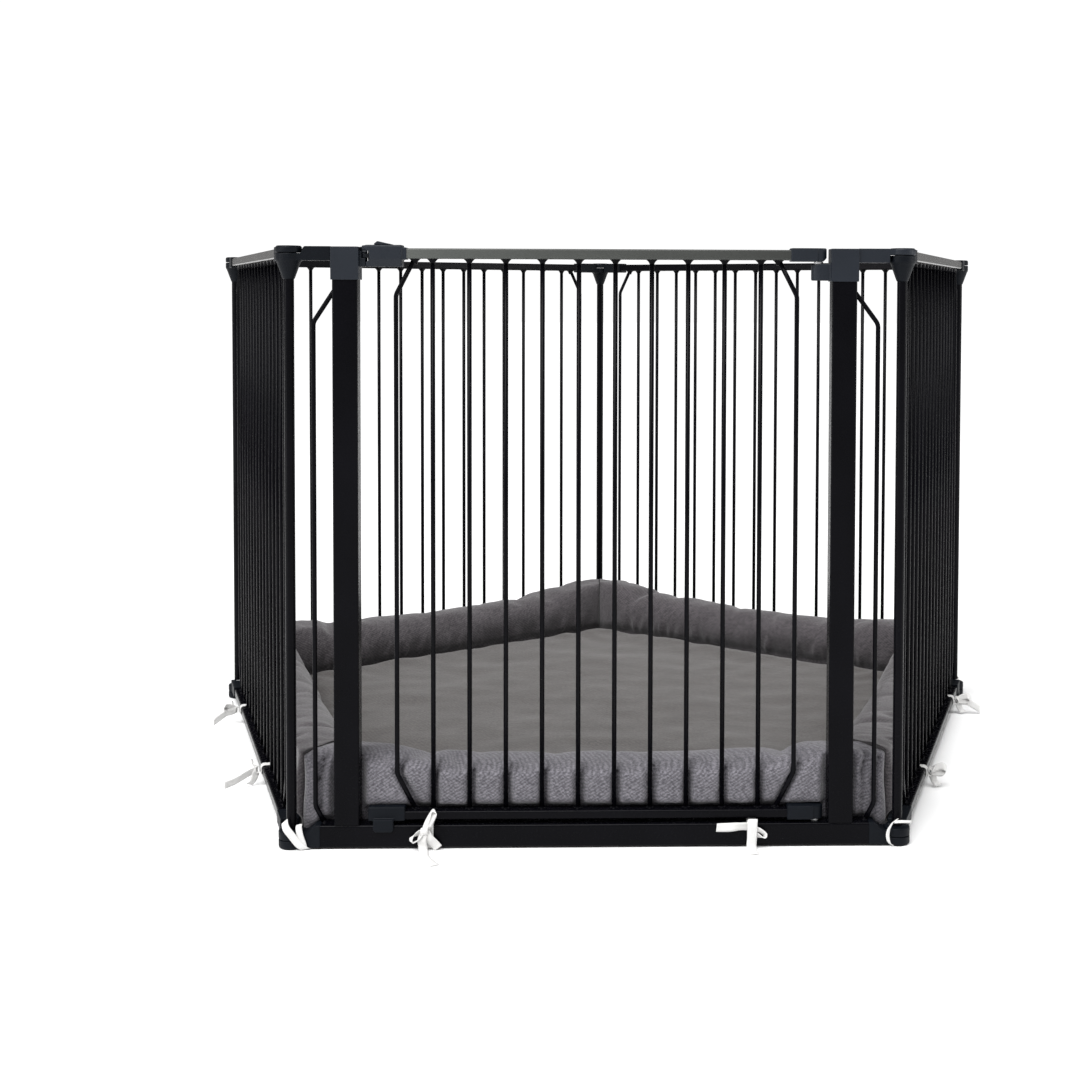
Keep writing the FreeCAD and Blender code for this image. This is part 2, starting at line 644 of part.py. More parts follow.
def door_end_bars():
    """The two bent bars beside the latch and the hinge."""
    low, high = "door_rail_bottom + door_rail_low_high", "rail_top - rail_high"
    bars = []
    for sign in ("-", ""):
        upright = f"{sign} door_end_bar"
        shifted = f"{sign} ( door_end_bar - bend_shift )"
        points = [(shifted, f"{low} - 1"), (upright, f"{low} + door_bend_rise"),
                  (upright, f"{high} - door_bend_rise"), (shifted, f"{high} + 1")]
        bars.append(bent_bar(points, low, high))
    return group(*bars)


def door():
    piece("hinge_pins", hinge_pins())
    top_length = "2 * door_rail_end - 6"
    piece("door_top_rail", rail("rail_top - rail_high", "rail_top", "6 - door_rail_end", top_length))
    low = "door_rail_bottom"
    piece("door_bottom_rail",
          rail(low, f"{low} + door_rail_low_high", "-door_rail_end", "2 * door_rail_end"))
    piece("door_bars", door_bars())
    piece("door_end_bars", door_end_bars())
    piece("upper_hinge_sleeve",
          hinge_holder("sleeve_bottom", "sleeve_top", "rail_top - rail_high", "rail_top"))
    piece("lower_hinge_shoe", hinge_holder("shoe_bottom", "shoe_top", low, f"{low} + door_rail_low_high"))
    piece("latch_housing", latch_housing())
    piece("latch_shoe", latch_shoe())
    piece("latch_slider", latch_slider())
    piece("latch_spring", latch_spring())


# ---- the mat --------------------------------------------------------------------------------------

def inset_half(inset):
    """Half the length of a side's parallel line, moved `inset` into the pen."""
    return value("side_length / 2") - value(inset) * math.tan(math.radians(36.0))


def mat_base():
    """Five-sided base pad inside the bumpers."""
    prism = doc.addObject("Part::Prism", "base_pad")
    prism.Polygon = 5
    prism.Circumradius = (APOTHEM - value("bumper_in + mat_gap")) / math.cos(math.radians(36.0))
    bind(prism, "Height", "mat_high")
    prism.Placement.Rotation = FreeCAD.Rotation(FreeCAD.Vector(0, 0, 1), 90.0)
    prism.Placement.Base.y = APOTHEM
    return group(prism)


def mat_bumpers():
    """One bumper along each side, mitred at the corners."""
    rolls = []
    for side in range(5):
        roll = doc.addObject("Part::Wedge", "bumper")
        outer = inset_half("bumper_out") - value("mat_gap")
        inner = inset_half("bumper_in") - value("mat_gap")
        roll.Xmin, roll.Xmax = -outer, outer
        roll.X2min, roll.X2max = -inner, inner
        roll.Zmin = roll.Z2min = 0
        roll.Zmax = roll.Z2max = value("bumper_high")
        roll.Ymin, roll.Ymax = value("bumper_out"), value("bumper_in")
        to_front = FreeCAD.Placement(FreeCAD.Vector(0, -APOTHEM, 0), FreeCAD.Rotation())
        roll.Placement = to_front.inverse() * side_placement(side)
        rolls.append(roll)
    return group(*rolls)


# ---- the cotton ties --------------------------------------------------------------------------------

def tape_loop(x, deep, z):
    """A band of tape round a bar that lies along x: y and z spans of the bar, x of the band."""
    slack, build = "tape_gap", "( tape_gap + tape_thick )"
    band_x = (f"{x} - tape_wide / 2", f"{x} + tape_wide / 2")
    wider_x = (f"{x} - tape_wide", f"{x} + tape_wide")
    outer = box(band_x, (f"{deep[0]} - {build}", f"{deep[1]} + {build}"),
                (f"{z[0]} - {build}", f"{z[1]} + {build}"))
    inner = box(wider_x, (f"{deep[0]} - {slack}", f"{deep[1]} + {slack}"),
                (f"{z[0]} - {slack}", f"{z[1]} + {slack}"))
    return cut(outer, inner)


def threshold_tie(x, tail_reach):
    """Tape round the threshold, knotted in front, with a tail on the floor."""
    front = "-threshold_deep / 2 - tape_gap"
    loop = tape_loop(x, ("-threshold_deep / 2", "threshold_deep / 2"), ("floor_gap", "threshold_top"))
    knot = box((f"{x} - 5", f"{x} + 5"), (f"{front} - 5", front), ("12", "24"))
    hang = box((f"{x} - tape_wide / 2", f"{x} + tape_wide / 2"), (f"{front} - 4.2", f"{front} - 3"),
               ("0.2", "14"))
    tail = box((f"{x} - tape_wide / 2", f"{x} + tape_wide / 2"), (f"{front} - {tail_reach}",
               f"{front} - 3"), ("0.2", "1.4"))
    return fuse(loop, knot, hang, tail)


def front_ties():
    """Two knotted ties on the threshold and a loop at each of its ends."""
    deep = ("-threshold_deep / 2", "threshold_deep / 2")
    loops = [tape_loop(f"{sign} ( threshold_half + 14 )", deep, ("floor_gap", "threshold_top"))
             for sign in ("-", "")]
    return group(threshold_tie("-193", "54"), threshold_tie("179", "22"), *loops)


def rail_tie(x):
    """Tape round a side's bottom rail, knotted on the outside, with a tail on the floor."""
    span = ("side_rail_bottom", "side_rail_bottom + rail_high")
    loop = tape_loop(x, ("-rail_deep / 2", "rail_deep / 2"), span)
    front = "-rail_deep / 2 - tape_gap"
    knot = box((f"{x} - 5", f"{x} + 5"), (f"{front} - 6", front), ("12", "24"))
    hang = box((f"{x} - tape_wide / 2", f"{x} + tape_wide / 2"), (f"{front} - 5.2", f"{front} - 4"),
               ("0.2", "14"))
    tail = box((f"{x} - tape_wide / 2", f"{x} + tape_wide / 2"), (f"{front} - 42", f"{front} - 4"),
               ("0.2", "1.4"))
    return fuse(loop, knot, hang, tail)


def beside_bar(corner, inwards, number, away):
    """A place for a tie next to a side's bar, counted from a corner: away is + for its far side."""
    clear = "( bar_radius + tape_wide / 2 + 0.8 )"
    return f"{corner} {inwards} ( bar_inset + {number} * {BAR_PITCH} {away} {clear} )"


def side_ties(places):
    return group(*[rail_tie(place) for place in places])


# ---- assembly ---------------------------------------------------------------------------------------

front_frame()
door()
for number in (RIGHT, REAR_RIGHT, REAR_LEFT, LEFT):
    plain_side(number)
piece("mat_base", mat_base())
piece("mat_bumpers", mat_bumpers())
piece("front_ties", front_ties())
piece("left_side_ties", side_ties([beside_bar(END, "-", 5, "-"), beside_bar(END, "-", 12, "+")]), LEFT)
piece("right_side_ties", side_ties([beside_bar(START, "+", 4, "+"), beside_bar(START, "+", 13, "+")]), RIGHT)

doc.recompute()
for obj in doc.Objects:
    if "Invalid" in obj.State or "Error" in obj.State:
        raise RuntimeError(f"{obj.Name} failed: {obj.State}")
os.makedirs("parts", exist_ok=True)
for obj in pieces:
    if obj.Shape.isNull() or not obj.Shape.isValid():
        raise RuntimeError(f"{obj.Label} has no valid shape")
    obj.Shape.exportStep(f"parts/{obj.Label}.step")
    print(f"{obj.Label}: {len(obj.Shape.Solids)} solids, {obj.Shape.Volume / 1000:.1f} cm3")
print(f"{len(pieces)} nodes")
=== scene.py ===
import json
import math
import random
import bmesh
import bpy
from mathutils import Matrix, Vector, noise

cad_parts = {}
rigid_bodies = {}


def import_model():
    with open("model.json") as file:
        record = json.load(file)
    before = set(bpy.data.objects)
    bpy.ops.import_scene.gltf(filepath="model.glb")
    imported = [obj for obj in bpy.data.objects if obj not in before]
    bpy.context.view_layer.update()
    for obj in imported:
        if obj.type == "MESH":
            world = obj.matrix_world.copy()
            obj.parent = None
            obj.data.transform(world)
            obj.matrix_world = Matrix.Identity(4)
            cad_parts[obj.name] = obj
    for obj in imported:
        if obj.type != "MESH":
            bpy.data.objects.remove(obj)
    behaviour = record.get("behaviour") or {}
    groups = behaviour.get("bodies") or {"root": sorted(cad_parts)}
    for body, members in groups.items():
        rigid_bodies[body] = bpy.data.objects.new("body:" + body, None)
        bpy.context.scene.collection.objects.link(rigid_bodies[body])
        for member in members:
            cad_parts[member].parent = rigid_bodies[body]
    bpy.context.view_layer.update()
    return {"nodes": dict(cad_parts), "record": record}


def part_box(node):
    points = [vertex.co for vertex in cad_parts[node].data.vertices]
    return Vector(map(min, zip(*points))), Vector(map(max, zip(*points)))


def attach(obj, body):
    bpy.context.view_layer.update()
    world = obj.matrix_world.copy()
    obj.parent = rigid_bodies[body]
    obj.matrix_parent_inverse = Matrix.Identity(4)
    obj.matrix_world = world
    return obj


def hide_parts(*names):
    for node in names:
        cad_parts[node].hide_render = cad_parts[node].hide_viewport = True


# The looks of a five-sided pet pen gate. Pieces are drawn in millimetres in the frame of one side,
# the way the part is: x along the side from its middle, y into the pen from the corner tube axes,
# z up from the floor. They become metres, and are turned to their side, when they are placed.

for leftover in list(bpy.data.objects):
    bpy.data.objects.remove(leftover)
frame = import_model()

MM = 0.001
TURN = math.radians(72)
HALF_TURN = TURN / 2
FRONT, RIGHT, REAR_RIGHT, REAR_LEFT, LEFT = range(5)
SIDES = {RIGHT: "right_side", REAR_RIGHT: "rear_right", REAR_LEFT: "rear_left", LEFT: "left_side"}
random.seed(5)


# ---- places read from the frame ----

tube_low, tube_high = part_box("front_corner_tube")
HALF = -(tube_low.x + tube_high.x) / 2 / MM
APOTHEM = -(tube_low.y + tube_high.y) / 2 / MM
START, END = -HALF, HALF


def local_box(node):
    """Lowest and highest corner of a front node, in millimetres, in the front side's frame."""
    shift = Vector((0, APOTHEM, 0))
    return [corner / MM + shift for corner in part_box(node)]


def side_matrix(side):
    """From a side's own frame, in metres, to the pen's."""
    return Matrix.Rotation(TURN * side, 4, "Z") @ Matrix.Translation((0, -APOTHEM * MM, 0))


TUBE = (tube_high.x - tube_low.x) / 2 / MM
BAR = 2.8
HUB = local_box("front_cap_connector")[1].y
CONE_LOW = local_box("front_cone_connector")[0].z
ARM_HIGH = local_box("front_cone_connector")[1].z
ARM_LOW = ARM_HIGH - 16.6
ARM_DEEP = 11.2
CAP_TOP = local_box("front_cap_connector")[1].z
HUB_SPLIT = CAP_TOP - 8.6
SEAM = 0.6
RAIL_TOP = local_box("door_top_rail")[1].z
RAIL_UNDER = local_box("door_top_rail")[0].z
SIDE_RAIL_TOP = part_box("right_side_bottom_rail")[1].z / MM
DOOR_RAIL = local_box("door_bottom_rail")
THRESHOLD = local_box("threshold_bar")
RAIL_END_DEEP = 11
ARM_REACH = 52.3
BEHIND_RAIL = 14.2
BAR_INSET = 46
BAR_GAPS = 15
BAR_PITCH = (2 * HALF - 2 * BAR_INSET) / BAR_GAPS
DOOR_PITCH = 42.5
DOOR_BARS = 10
HINGE = (local_box("hinge_pins")[0].x + local_box("hinge_pins")[1].x) / 2


# ---- shells: closed surfaces as (points, faces), in millimetres ----

def tube_faces(rings, steps):
    """Faces of a closed tube whose points come ring by ring."""
    faces = []
    for ring in range(rings - 1):
        for step in range(steps):
            a, b = ring * steps + step, ring * steps + (step + 1) % steps
            faces.append((a, b, b + steps, a + steps))
    last = (rings - 1) * steps
    return faces + [tuple(reversed(range(steps))), tuple(range(last, last + steps))]


def lathe(profile, x=0.0, y=0.0, steps=64):
    """Turned about an upright axis; profile is (radius, height) points, bottom to top."""
    points = []
    for radius, height in profile:
        for step in range(steps):
            angle = 2 * math.pi * step / steps
            points.append(Vector((x + radius * math.cos(angle), y + radius * math.sin(angle), height)))
    return points, tube_faces(len(profile), steps)


def rounding(centre, radius, first, last, steps=6):
    """Points of a profile's rounded corner, from one angle to another in degrees."""
    angles = [math.radians(first + (last - first) * step / steps) for step in range(steps + 1)]
    return [(centre[0] + radius * math.cos(a), centre[1] + radius * math.sin(a)) for a in angles]


def prism(outline, span, axis="y"):
    """An outline drawn across `axis`, given thickness along it: (x, z) points for y, (y, z) for x,
    (x, y) for z."""
    place = {"y": lambda a, b, c: Vector((a, c, b)), "x": lambda a, b, c: Vector((c, a, b)),
             "z": lambda a, b, c: Vector((a, b, c))}[axis]
    count = len(outline)
    points = [place(a, b, depth) for depth in span for a, b in outline]
    faces = [tuple(range(count)), tuple(reversed(range(count, 2 * count)))]
    for index in range(count):
        after = (index + 1) % count
        faces.append((index, index + count, after + count, after))
    return points, faces


def box(x, y, z):
    return prism([(x[0], z[0]), (x[1], z[0]), (x[1], z[1]), (x[0], z[1])], y)


def rounded_path(corners, radius, steps=6):
    """A bent line: straight runs with an arc of the given radius at each inner corner."""
    path = [Vector(corners[0])]
    for before, corner, after in zip(corners, corners[1:], corners[2:]):
        corner = Vector(corner)
        back, on = (Vector(before) - corner).normalized(), (Vector(after) - corner).normalized()
        half_angle = back.angle(on) / 2
        reach = radius / math.tan(half_angle)
        centre = corner + (back + on).normalized() * radius / math.sin(half_angle)
        start = (corner + back * reach - centre).normalized()
        end = (corner + on * reach - centre).normalized()
        for step in range(steps + 1):
            path.append(centre + start.slerp(end, step / steps) * radius)
    return path + [Vector(corners[-1])]


def rod(path, radius, sides=20):
    """A round rod along a path that stays in one upright plane along x."""
    points = []
    for index, place in enumerate(path):
        along = (path[min(index + 1, len(path) - 1)] - path[max(index - 1, 0)]).normalized()
        deep = Vector((0, 1, 0))
        across = deep.cross(along).normalized()
        for step in range(sides):
            angle = 2 * math.pi * step / sides
            points.append(place + radius * (math.cos(angle) * across + math.sin(angle) * deep))
    return points, tube_faces(len(path), sides)


def flare(x, z, rise, wide, deep=3.9, y=0.0, sides=24, rings=7):
    """Weld between a bar and a rail: widest at the rail, at z, and `rise` tall (down if negative)."""
    points = []
    for ring in range(rings + 1):
        share = ring / rings
        spread = (1 - share) ** 2
        half_x = BAR * 0.98 + (wide - BAR) * spread
        half_y = BAR * 0.98 + (deep - BAR) * spread
        for step in range(sides):
            angle = 2 * math.pi * step / sides
            points.append(Vector((x + half_x * math.cos(angle), y + half_y * math.sin(angle),
                                  z + rise * share)))
    return points, tube_faces(rings + 1, sides)


def mesh_of(name, shells):
    mesh = bpy.data.meshes.new(name)
    points, faces = [], []
    for shell_points, shell_faces in shells:
        first = len(points)
        points += [point * MM for point in shell_points]
        faces += [tuple(index + first for index in face) for face in shell_faces]
    mesh.from_pydata(points, [], faces)
    tidy_normals(mesh)
    return mesh


def tidy_normals(mesh):
    work = bmesh.new()
    work.from_mesh(mesh)
    bmesh.ops.recalc_face_normals(work, faces=work.faces)
    work.to_mesh(mesh)
    work.free()


def add_object(name, data):
    thing = bpy.data.objects.new(name, data)
    bpy.context.scene.collection.objects.link(thing)
    return thing


def with_modifiers(mesh, *settings):
    """The mesh after the given modifiers, each (type, {property: value})."""
    work = add_object("work", mesh)
    for kind, values in settings:
        modifier = work.modifiers.new(kind, kind)
        for key, number in values.items():
            setattr(modifier, key, number)
    bpy.context.view_layer.update()
    ready = work.evaluated_get(bpy.context.evaluated_depsgraph_get())
    result = bpy.data.meshes.new_from_object(ready)
    result.name = mesh.name
    bpy.data.objects.remove(work)
    return result


def cut_away(mesh, shells):
    """The mesh without the space inside the given shells."""
    for shell in shells:
        tool = add_object("tool", mesh_of("tool", [shell]))
        mesh = with_modifiers(mesh, ("BOOLEAN", {"operation": "DIFFERENCE", "solver": "EXACT",
                                                 "object": tool}))
        bpy.data.objects.remove(tool)
    return mesh


def moulded(name, shells, holes=(), grain=0.7, rounds=5):
    """One moulded skin over overlapping shells, its edges and inner corners softly rounded."""
    skin = with_modifiers(mesh_of(name, shells),
                          ("REMESH", {"mode": "VOXEL", "voxel_size": grain * MM}))
    if holes:
        skin = cut_away(skin, holes)
        skin = with_modifiers(skin, ("REMESH", {"mode": "VOXEL", "voxel_size": grain * MM}))
    return with_modifiers(skin, ("SMOOTH", {"factor": 0.5, "iterations": rounds}))


def place(name, mesh, body, slot, finish, nodes=(), side=FRONT, smooth=True):
    """Puts a mesh in the scene as one piece of the gate, riding on a body."""
    piece = add_object(name, mesh)
    piece.matrix_world = side_matrix(side)
    if not mesh.materials:
        mesh.materials.append(finish)
    for face in mesh.polygons:
        face.use_smooth = smooth
    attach(piece, body)
    if nodes:
        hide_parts(*nodes)
    return piece


# ---- materials ----

class Finish:
    """A material under construction: a Principled shader and helpers for what feeds it."""

    def __init__(self, name, **sockets):
        self.material = bpy.data.materials.new(name)
        self.material.use_nodes = True
        self.nodes = self.material.node_tree.nodes
        self.links = self.material.node_tree.links
        self.shader = self.nodes["Principled BSDF"]
        for socket, number in sockets.items():
            self.shader.inputs[socket.replace("_", " ")].default_value = number
        self.place = self.nodes.new("ShaderNodeTexCoord").outputs["Object"]

    def stretched(self, scale, turn=(0, 0, 0)):
        """Object coordinates turned, then scaled by three numbers."""
        turned = self.nodes.new("ShaderNodeMapping")
        turned.inputs["Rotation"].default_value = [math.radians(angle) for angle in turn]
        scaled = self.nodes.new("ShaderNodeMapping")
        scaled.inputs["Scale"].default_value = scale
        self.links.new(self.place, turned.inputs["Vector"])
        self.links.new(turned.outputs["Vector"], scaled.inputs["Vector"])
        return scaled.outputs["Vector"]

    def noise(self, scale, detail=2.0, vector=None, roughness=0.5):
        node = self.nodes.new("ShaderNodeTexNoise")
        node.inputs["Scale"].default_value = scale
        node.inputs["Detail"].default_value = detail
        node.inputs["Roughness"].default_value = roughness
        self.links.new(vector or self.place, node.inputs["Vector"])
        return node.outputs["Fac"]

    def slope(self, vector, scale, offset):
        """A ramp from 0 to 1 along x."""
        moved = self.nodes.new("ShaderNodeMapping")
        moved.inputs["Scale"].default_value = (scale, 1, 1)
        moved.inputs["Location"].default_value = (offset, 0, 0)
        self.links.new(vector, moved.inputs["Vector"])
        node = self.nodes.new("ShaderNodeTexGradient")
        self.links.new(moved.outputs["Vector"], node.inputs["Vector"])
        return node.outputs["Fac"]

    def carried(self, name):
        """A number that the mesh carries at its vertices."""
        node = self.nodes.new("ShaderNodeAttribute")
        node.attribute_name = name
        return node.outputs["Fac"]

    def waves(self, scale, vector, direction="X", warp=0.0):
        node = self.nodes.new("ShaderNodeTexWave")
        node.bands_direction = direction
        node.inputs["Distortion"].default_value = warp
        node.inputs["Detail Scale"].default_value = 1.5
        node.inputs["Scale"].default_value = scale
        self.links.new(vector, node.inputs["Vector"])
        return node.outputs["Fac"]

    def ramp(self, fac, stops):
        """Colour or grey by factor; stops are (place, colour)."""
        node = self.nodes.new("ShaderNodeValToRGB")
        elements = node.color_ramp.elements
        while len(elements) < len(stops):
            elements.new(0.5)
        for element, (spot, colour) in zip(elements, stops):
            element.position = spot
            element.color = (*colour, 1) if hasattr(colour, "__len__") else (colour, colour, colour, 1)
        self.links.new(fac, node.inputs["Fac"])
        return node.outputs["Color"]

    def fade(self, fac, dark, light):
        """From dark to light over the middle of a noise's range."""
        return self.ramp(fac, [(0.3, dark), (0.7, light)])

    def orange_peel(self):
        """The fine relief of a powder coat."""
        self.bumps((self.noise(700, 2), 0.0003, 0.22), (self.noise(2600, 1), 0.0001, 0.15))

    def combine(self, kind, first, second, share=1.0):
        node = self.nodes.new("ShaderNodeMix")
        node.data_type = "RGBA"
        node.blend_type = kind
        node.inputs["Factor"].default_value = share
        self.links.new(first, node.inputs["A"])
        self.links.new(second, node.inputs["B"])
        return node.outputs["Result"]

    def colour(self, source):
        self.links.new(source, self.shader.inputs["Base Color"])

    def roughness(self, source):
        self.links.new(source, self.shader.inputs["Roughness"])

    def bumps(self, *layers):
        """Layers of relief, each (source, depth in metres, strength)."""
        normal = None
        for source, depth, strength in layers:
            node = self.nodes.new("ShaderNodeBump")
            node.inputs["Distance"].default_value = depth
            node.inputs["Strength"].default_value = strength
            self.links.new(source, node.inputs["Height"])
            if normal:
                self.links.new(normal, node.inputs["Normal"])
            normal = node.outputs["Normal"]
        self.links.new(normal, self.shader.inputs["Normal"])


def powder_coat():
    """Satin black powder coat: a fine orange-peel skin, slightly uneven in gloss."""
    finish = Finish("powder_coat", Specular_IOR_Level=0.06)
    finish.colour(finish.fade(finish.noise(9, 3), (0.0011, 0.0011, 0.0018), (0.0023, 0.0022, 0.0035)))
    finish.roughness(finish.fade(finish.noise(240, 3), 0.20, 0.30))
    finish.orange_peel()
    return finish.material


def painted_reflection_coat():
    """The door's top rail: the same coat, painted lighter and warmer as a painted reflection of the key
    light, the painted reflection fading from its left end to its right.
    """
    finish = Finish("rail_coat_painted_reflection", Specular_IOR_Level=0.35)
    sheen_streaks = finish.noise(5, 4, finish.stretched((1, 3, 3)))
    coat = finish.fade(sheen_streaks, (0.062, 0.066, 0.062), (0.088, 0.093, 0.086))
    along = finish.slope(finish.place, 1.9, 0.5)
    # painted reflection: the lighter coat is darkened from the rail's left end to its right, the fall-off of
    # the key light's reflection
    shade = finish.ramp(along, [(0.05, 1.0), (0.45, 0.62), (0.95, 0.30)])
    finish.colour(finish.combine("MULTIPLY", coat, shade))
    finish.roughness(finish.fade(finish.noise(240, 3), 0.34, 0.46))
    finish.orange_peel()
    return finish.material


def side_sheen_coat():
    """The top rails beside the front: a paler coat that is a painted sheen, the light caught along their
    outer faces at a grazing angle.
    """
    finish = Finish("side_rail_painted_sheen", Specular_IOR_Level=0.5)
    sheen_streaks = finish.noise(5, 4, finish.stretched((3, 3, 3)))
    # painted sheen: the paler colour stands in for light reflected at a grazing angle
    finish.colour(finish.fade(sheen_streaks, (0.030, 0.028, 0.027), (0.046, 0.043, 0.040)))
    finish.roughness(finish.fade(finish.noise(240, 3), 0.16, 0.24))
    finish.bumps((finish.noise(700, 2), 0.0003, 0.15))
    return finish.material


def moulded_plastic(name, depth):
    """Blue-black moulded plastic with an eroded grain; depth scales its colour and gloss, and a low depth
    makes a copy with painted shade.
    """
    finish = Finish(name, Specular_IOR_Level=0.25 * depth)
    dark, light = ([part * depth for part in colour]
                   for colour in ((0.0062, 0.0088, 0.0136), (0.0088, 0.0120, 0.0182)))
    finish.colour(finish.fade(finish.noise(14, 3), dark, light))
    finish.roughness(finish.fade(finish.noise(500, 3), 0.42, 0.56))
    finish.bumps((finish.noise(1500, 3), 0.00025, 0.30), (finish.noise(3800, 1), 0.0001, 0.2))
    return finish.material


def zinc_steel():
    finish = Finish("zinc_steel", Metallic=1.0)
    brushed = finish.noise(160, 2, finish.stretched((1, 1, 30)))
    finish.colour(finish.fade(brushed, (0.46, 0.46, 0.47), (0.60, 0.60, 0.60)))
    finish.roughness(finish.fade(brushed, 0.28, 0.44))
    finish.bumps((brushed, 0.0001, 0.2))
    return finish.material


def jersey(name, dark, light):
    """Melange jersey: light and dark fibres in fine slanting rows of small loops, with painted shade from the
    mesh's fold attribute.
    """
    finish = Finish(name, Sheen_Weight=0.35, Sheen_Roughness=0.5, Specular_IOR_Level=0.15)
    slant = finish.stretched((0.3, 1.0, 1.0), (0, -35, -20))
    fibres = finish.noise(520, 3, slant, 0.6)
    patches = finish.noise(22, 3)
    middle = [(low + high) / 2 for low, high in zip(dark, light)]
    melange = finish.ramp(fibres, [(0.34, dark), (0.5, middle), (0.68, light)])
    cloudy = finish.fade(patches, 0.86, 1.0)
    hatch = finish.waves(95, finish.stretched((1, 1, 1), (0, 123, 20)), warp=4.0)
    melange = finish.combine("MULTIPLY", melange, finish.ramp(hatch, [(0.0, 0.62), (1.0, 1.0)]))
    # painted shade: the mesh's fold attribute darkens the cloth in the pinches at the bars, in the crease
    # where the bumper meets the pad, in its folds and at the mitred corners
    shaded = finish.ramp(finish.carried("fold"), [(0.0, 1.0), (1.0, 0.28)])
    finish.colour(finish.combine("MULTIPLY", finish.combine("MULTIPLY", melange, cloudy), shaded))
    finish.roughness(finish.fade(fibres, 0.95, 0.8))
    rows = finish.waves(300, finish.stretched((1, 1, 1), (0, 123, 20)))
    finish.bumps((finish.noise(70, 3), 0.0016, 0.35), (rows, 0.0004, 0.35), (fibres, 0.0005, 0.5))
    return finish.material


def cotton_tape():
    """White plain-woven tape: threads along and across the strap's own UV map."""
    finish = Finish("cotton_tape", Sheen_Weight=0.3, Sheen_Roughness=0.5, Specular_IOR_Level=0.2)
    finish.place = finish.nodes.new("ShaderNodeTexCoord").outputs["UV"]
    warp = finish.waves(550, finish.place, "X")
    weft = finish.waves(420, finish.place, "Y")
    weave = finish.combine("MULTIPLY", warp, weft)
    finish.colour(finish.ramp(weave, [(0.0, (0.60, 0.595, 0.585)), (0.5, (0.74, 0.735, 0.725))]))
    finish.roughness(finish.ramp(weave, [(0.0, 0.95), (1.0, 0.8)]))
    finish.bumps((weave, 0.0003, 0.6), (finish.noise(60, 2), 0.001, 0.3))
    return finish.material


METAL = powder_coat()
PLASTIC = moulded_plastic("moulded_plastic", 1.0)
# the same plastic with painted shade: darker and less glossy, for the corner and low pieces that sit in shade
SHADED_PLASTIC = moulded_plastic("plastic_painted_shade", 0.4)
STEEL = zinc_steel()
# lit and shaded copies of one jersey: the front bumper's is painted lighter for the light it catches, the
# others' painted darker for their shade
LIT_FRONT_JERSEY = jersey("front_jersey_painted_lit", (0.082, 0.078, 0.090), (0.215, 0.206, 0.230))
SHADED_BACK_JERSEY = jersey("back_jersey_painted_shade", (0.046, 0.041, 0.046), (0.115, 0.103, 0.110))
PAD_CLOTH = jersey("pad_jersey", (0.038, 0.0335, 0.0315), (0.098, 0.087, 0.082))
TAPE = cotton_tape()
BY_SLOT = {"black_powder_coat": METAL, "black_plastic": PLASTIC, "plain_steel": STEEL,
           "grey_jersey": PAD_CLOTH, "white_tape": TAPE}
for subpart in frame["record"]["subparts"]:
    node = frame["nodes"][subpart["node"]]
    for spot in node.material_slots:
        spot.material = BY_SLOT[subpart["material_slot"]]


# the door's top rail gets the coat with the painted reflection
frame["nodes"]["door_top_rail"].material_slots[0].material = painted_reflection_coat()
# the side top rails get the coat with the painted sheen
for name in ("left_side_top_rail", "right_side_top_rail"):
    frame["nodes"][name].material_slots[0].material = side_sheen_coat()


# ---- bars ----

BEND = 14
ASIDE = 22
SIDE_RISE, DOOR_RISE = 40, 42
FILLER_AXIS, FILLER_FOOT = 329.5, 318.5
TOP_WELD, TOP_WELD_WIDE = 6.5, 7.6
LOW_WELD, LOW_WELD_WIDE = 3.0, 4.6


def bar(x_low, x_high, low, high, rise=0.0):
    """A bar from rail to rail; its ends stand at x_low and its upright run at x_high."""
    if rise:
        corners = [(x_low, 0, low - 1), (x_high, 0, low + rise), (x_high, 0, high - rise),
                   (x_low, 0, high + 1)]
        shells = [rod(rounded_path(corners, BEND), BAR)]
    else:
        shells = [rod([Vector((x_low, 0, low - 1)), Vector((x_low, 0, high + 1))], BAR)]
    shells.append(flare(x_low, high + 0.5, -TOP_WELD, TOP_WELD_WIDE))
    shells.append(flare(x_low, low - 0.5, LOW_WELD, LOW_WELD_WIDE))
    bead = [(0.2, low - 0.7), (1.3, low - 0.1), (1.8, low + 0.9), (1.3, low + 1.9), (0.2, low + 2.4)]
    for aside in (-3.4, 3.4):
        shells.append(lathe(bead, x_low + aside, -2.4, 10))
    return shells


def side_bar_places():
    return [START + BAR_INSET + BAR_PITCH * count for count in range(BAR_GAPS + 1)]


def side_bars():
    low, high = SIDE_RAIL_TOP, RAIL_UNDER
    places = side_bar_places()
    shells = bar(places[0] + ASIDE, places[0], low, high, SIDE_RISE)
    shells += bar(places[-1] - ASIDE, places[-1], low, high, SIDE_RISE)
    for x in places[1:-1]:
        shells += bar(x, x, low, high)
    return mesh_of("side_bars", shells)


SIDE_BARS = side_bars()
for number, name in SIDES.items():
    place(f"{name}_rods", SIDE_BARS, name, "black_powder_coat", METAL, [f"{name}_bars"], number)

DOOR_LOW, DOOR_HIGH = DOOR_RAIL[1].z, RAIL_UNDER
door_places = [DOOR_PITCH * (index - (DOOR_BARS - 1) / 2) for index in range(DOOR_BARS)]
shells = [shell for x in door_places for shell in bar(x, x, DOOR_LOW, DOOR_HIGH)]
place("door_rods", mesh_of("door_rods", shells), "door", "black_powder_coat", METAL, ["door_bars"])
END_RUN = local_box("door_end_bars")[1].x - BAR
shells = [shell for sign in (-1, 1)
          for shell in bar(sign * (END_RUN - ASIDE), sign * END_RUN, DOOR_LOW, DOOR_HIGH, DOOR_RISE)]
place("door_bent_rods", mesh_of("door_bent_rods", shells), "door", "black_powder_coat", METAL,
      ["door_end_bars"])


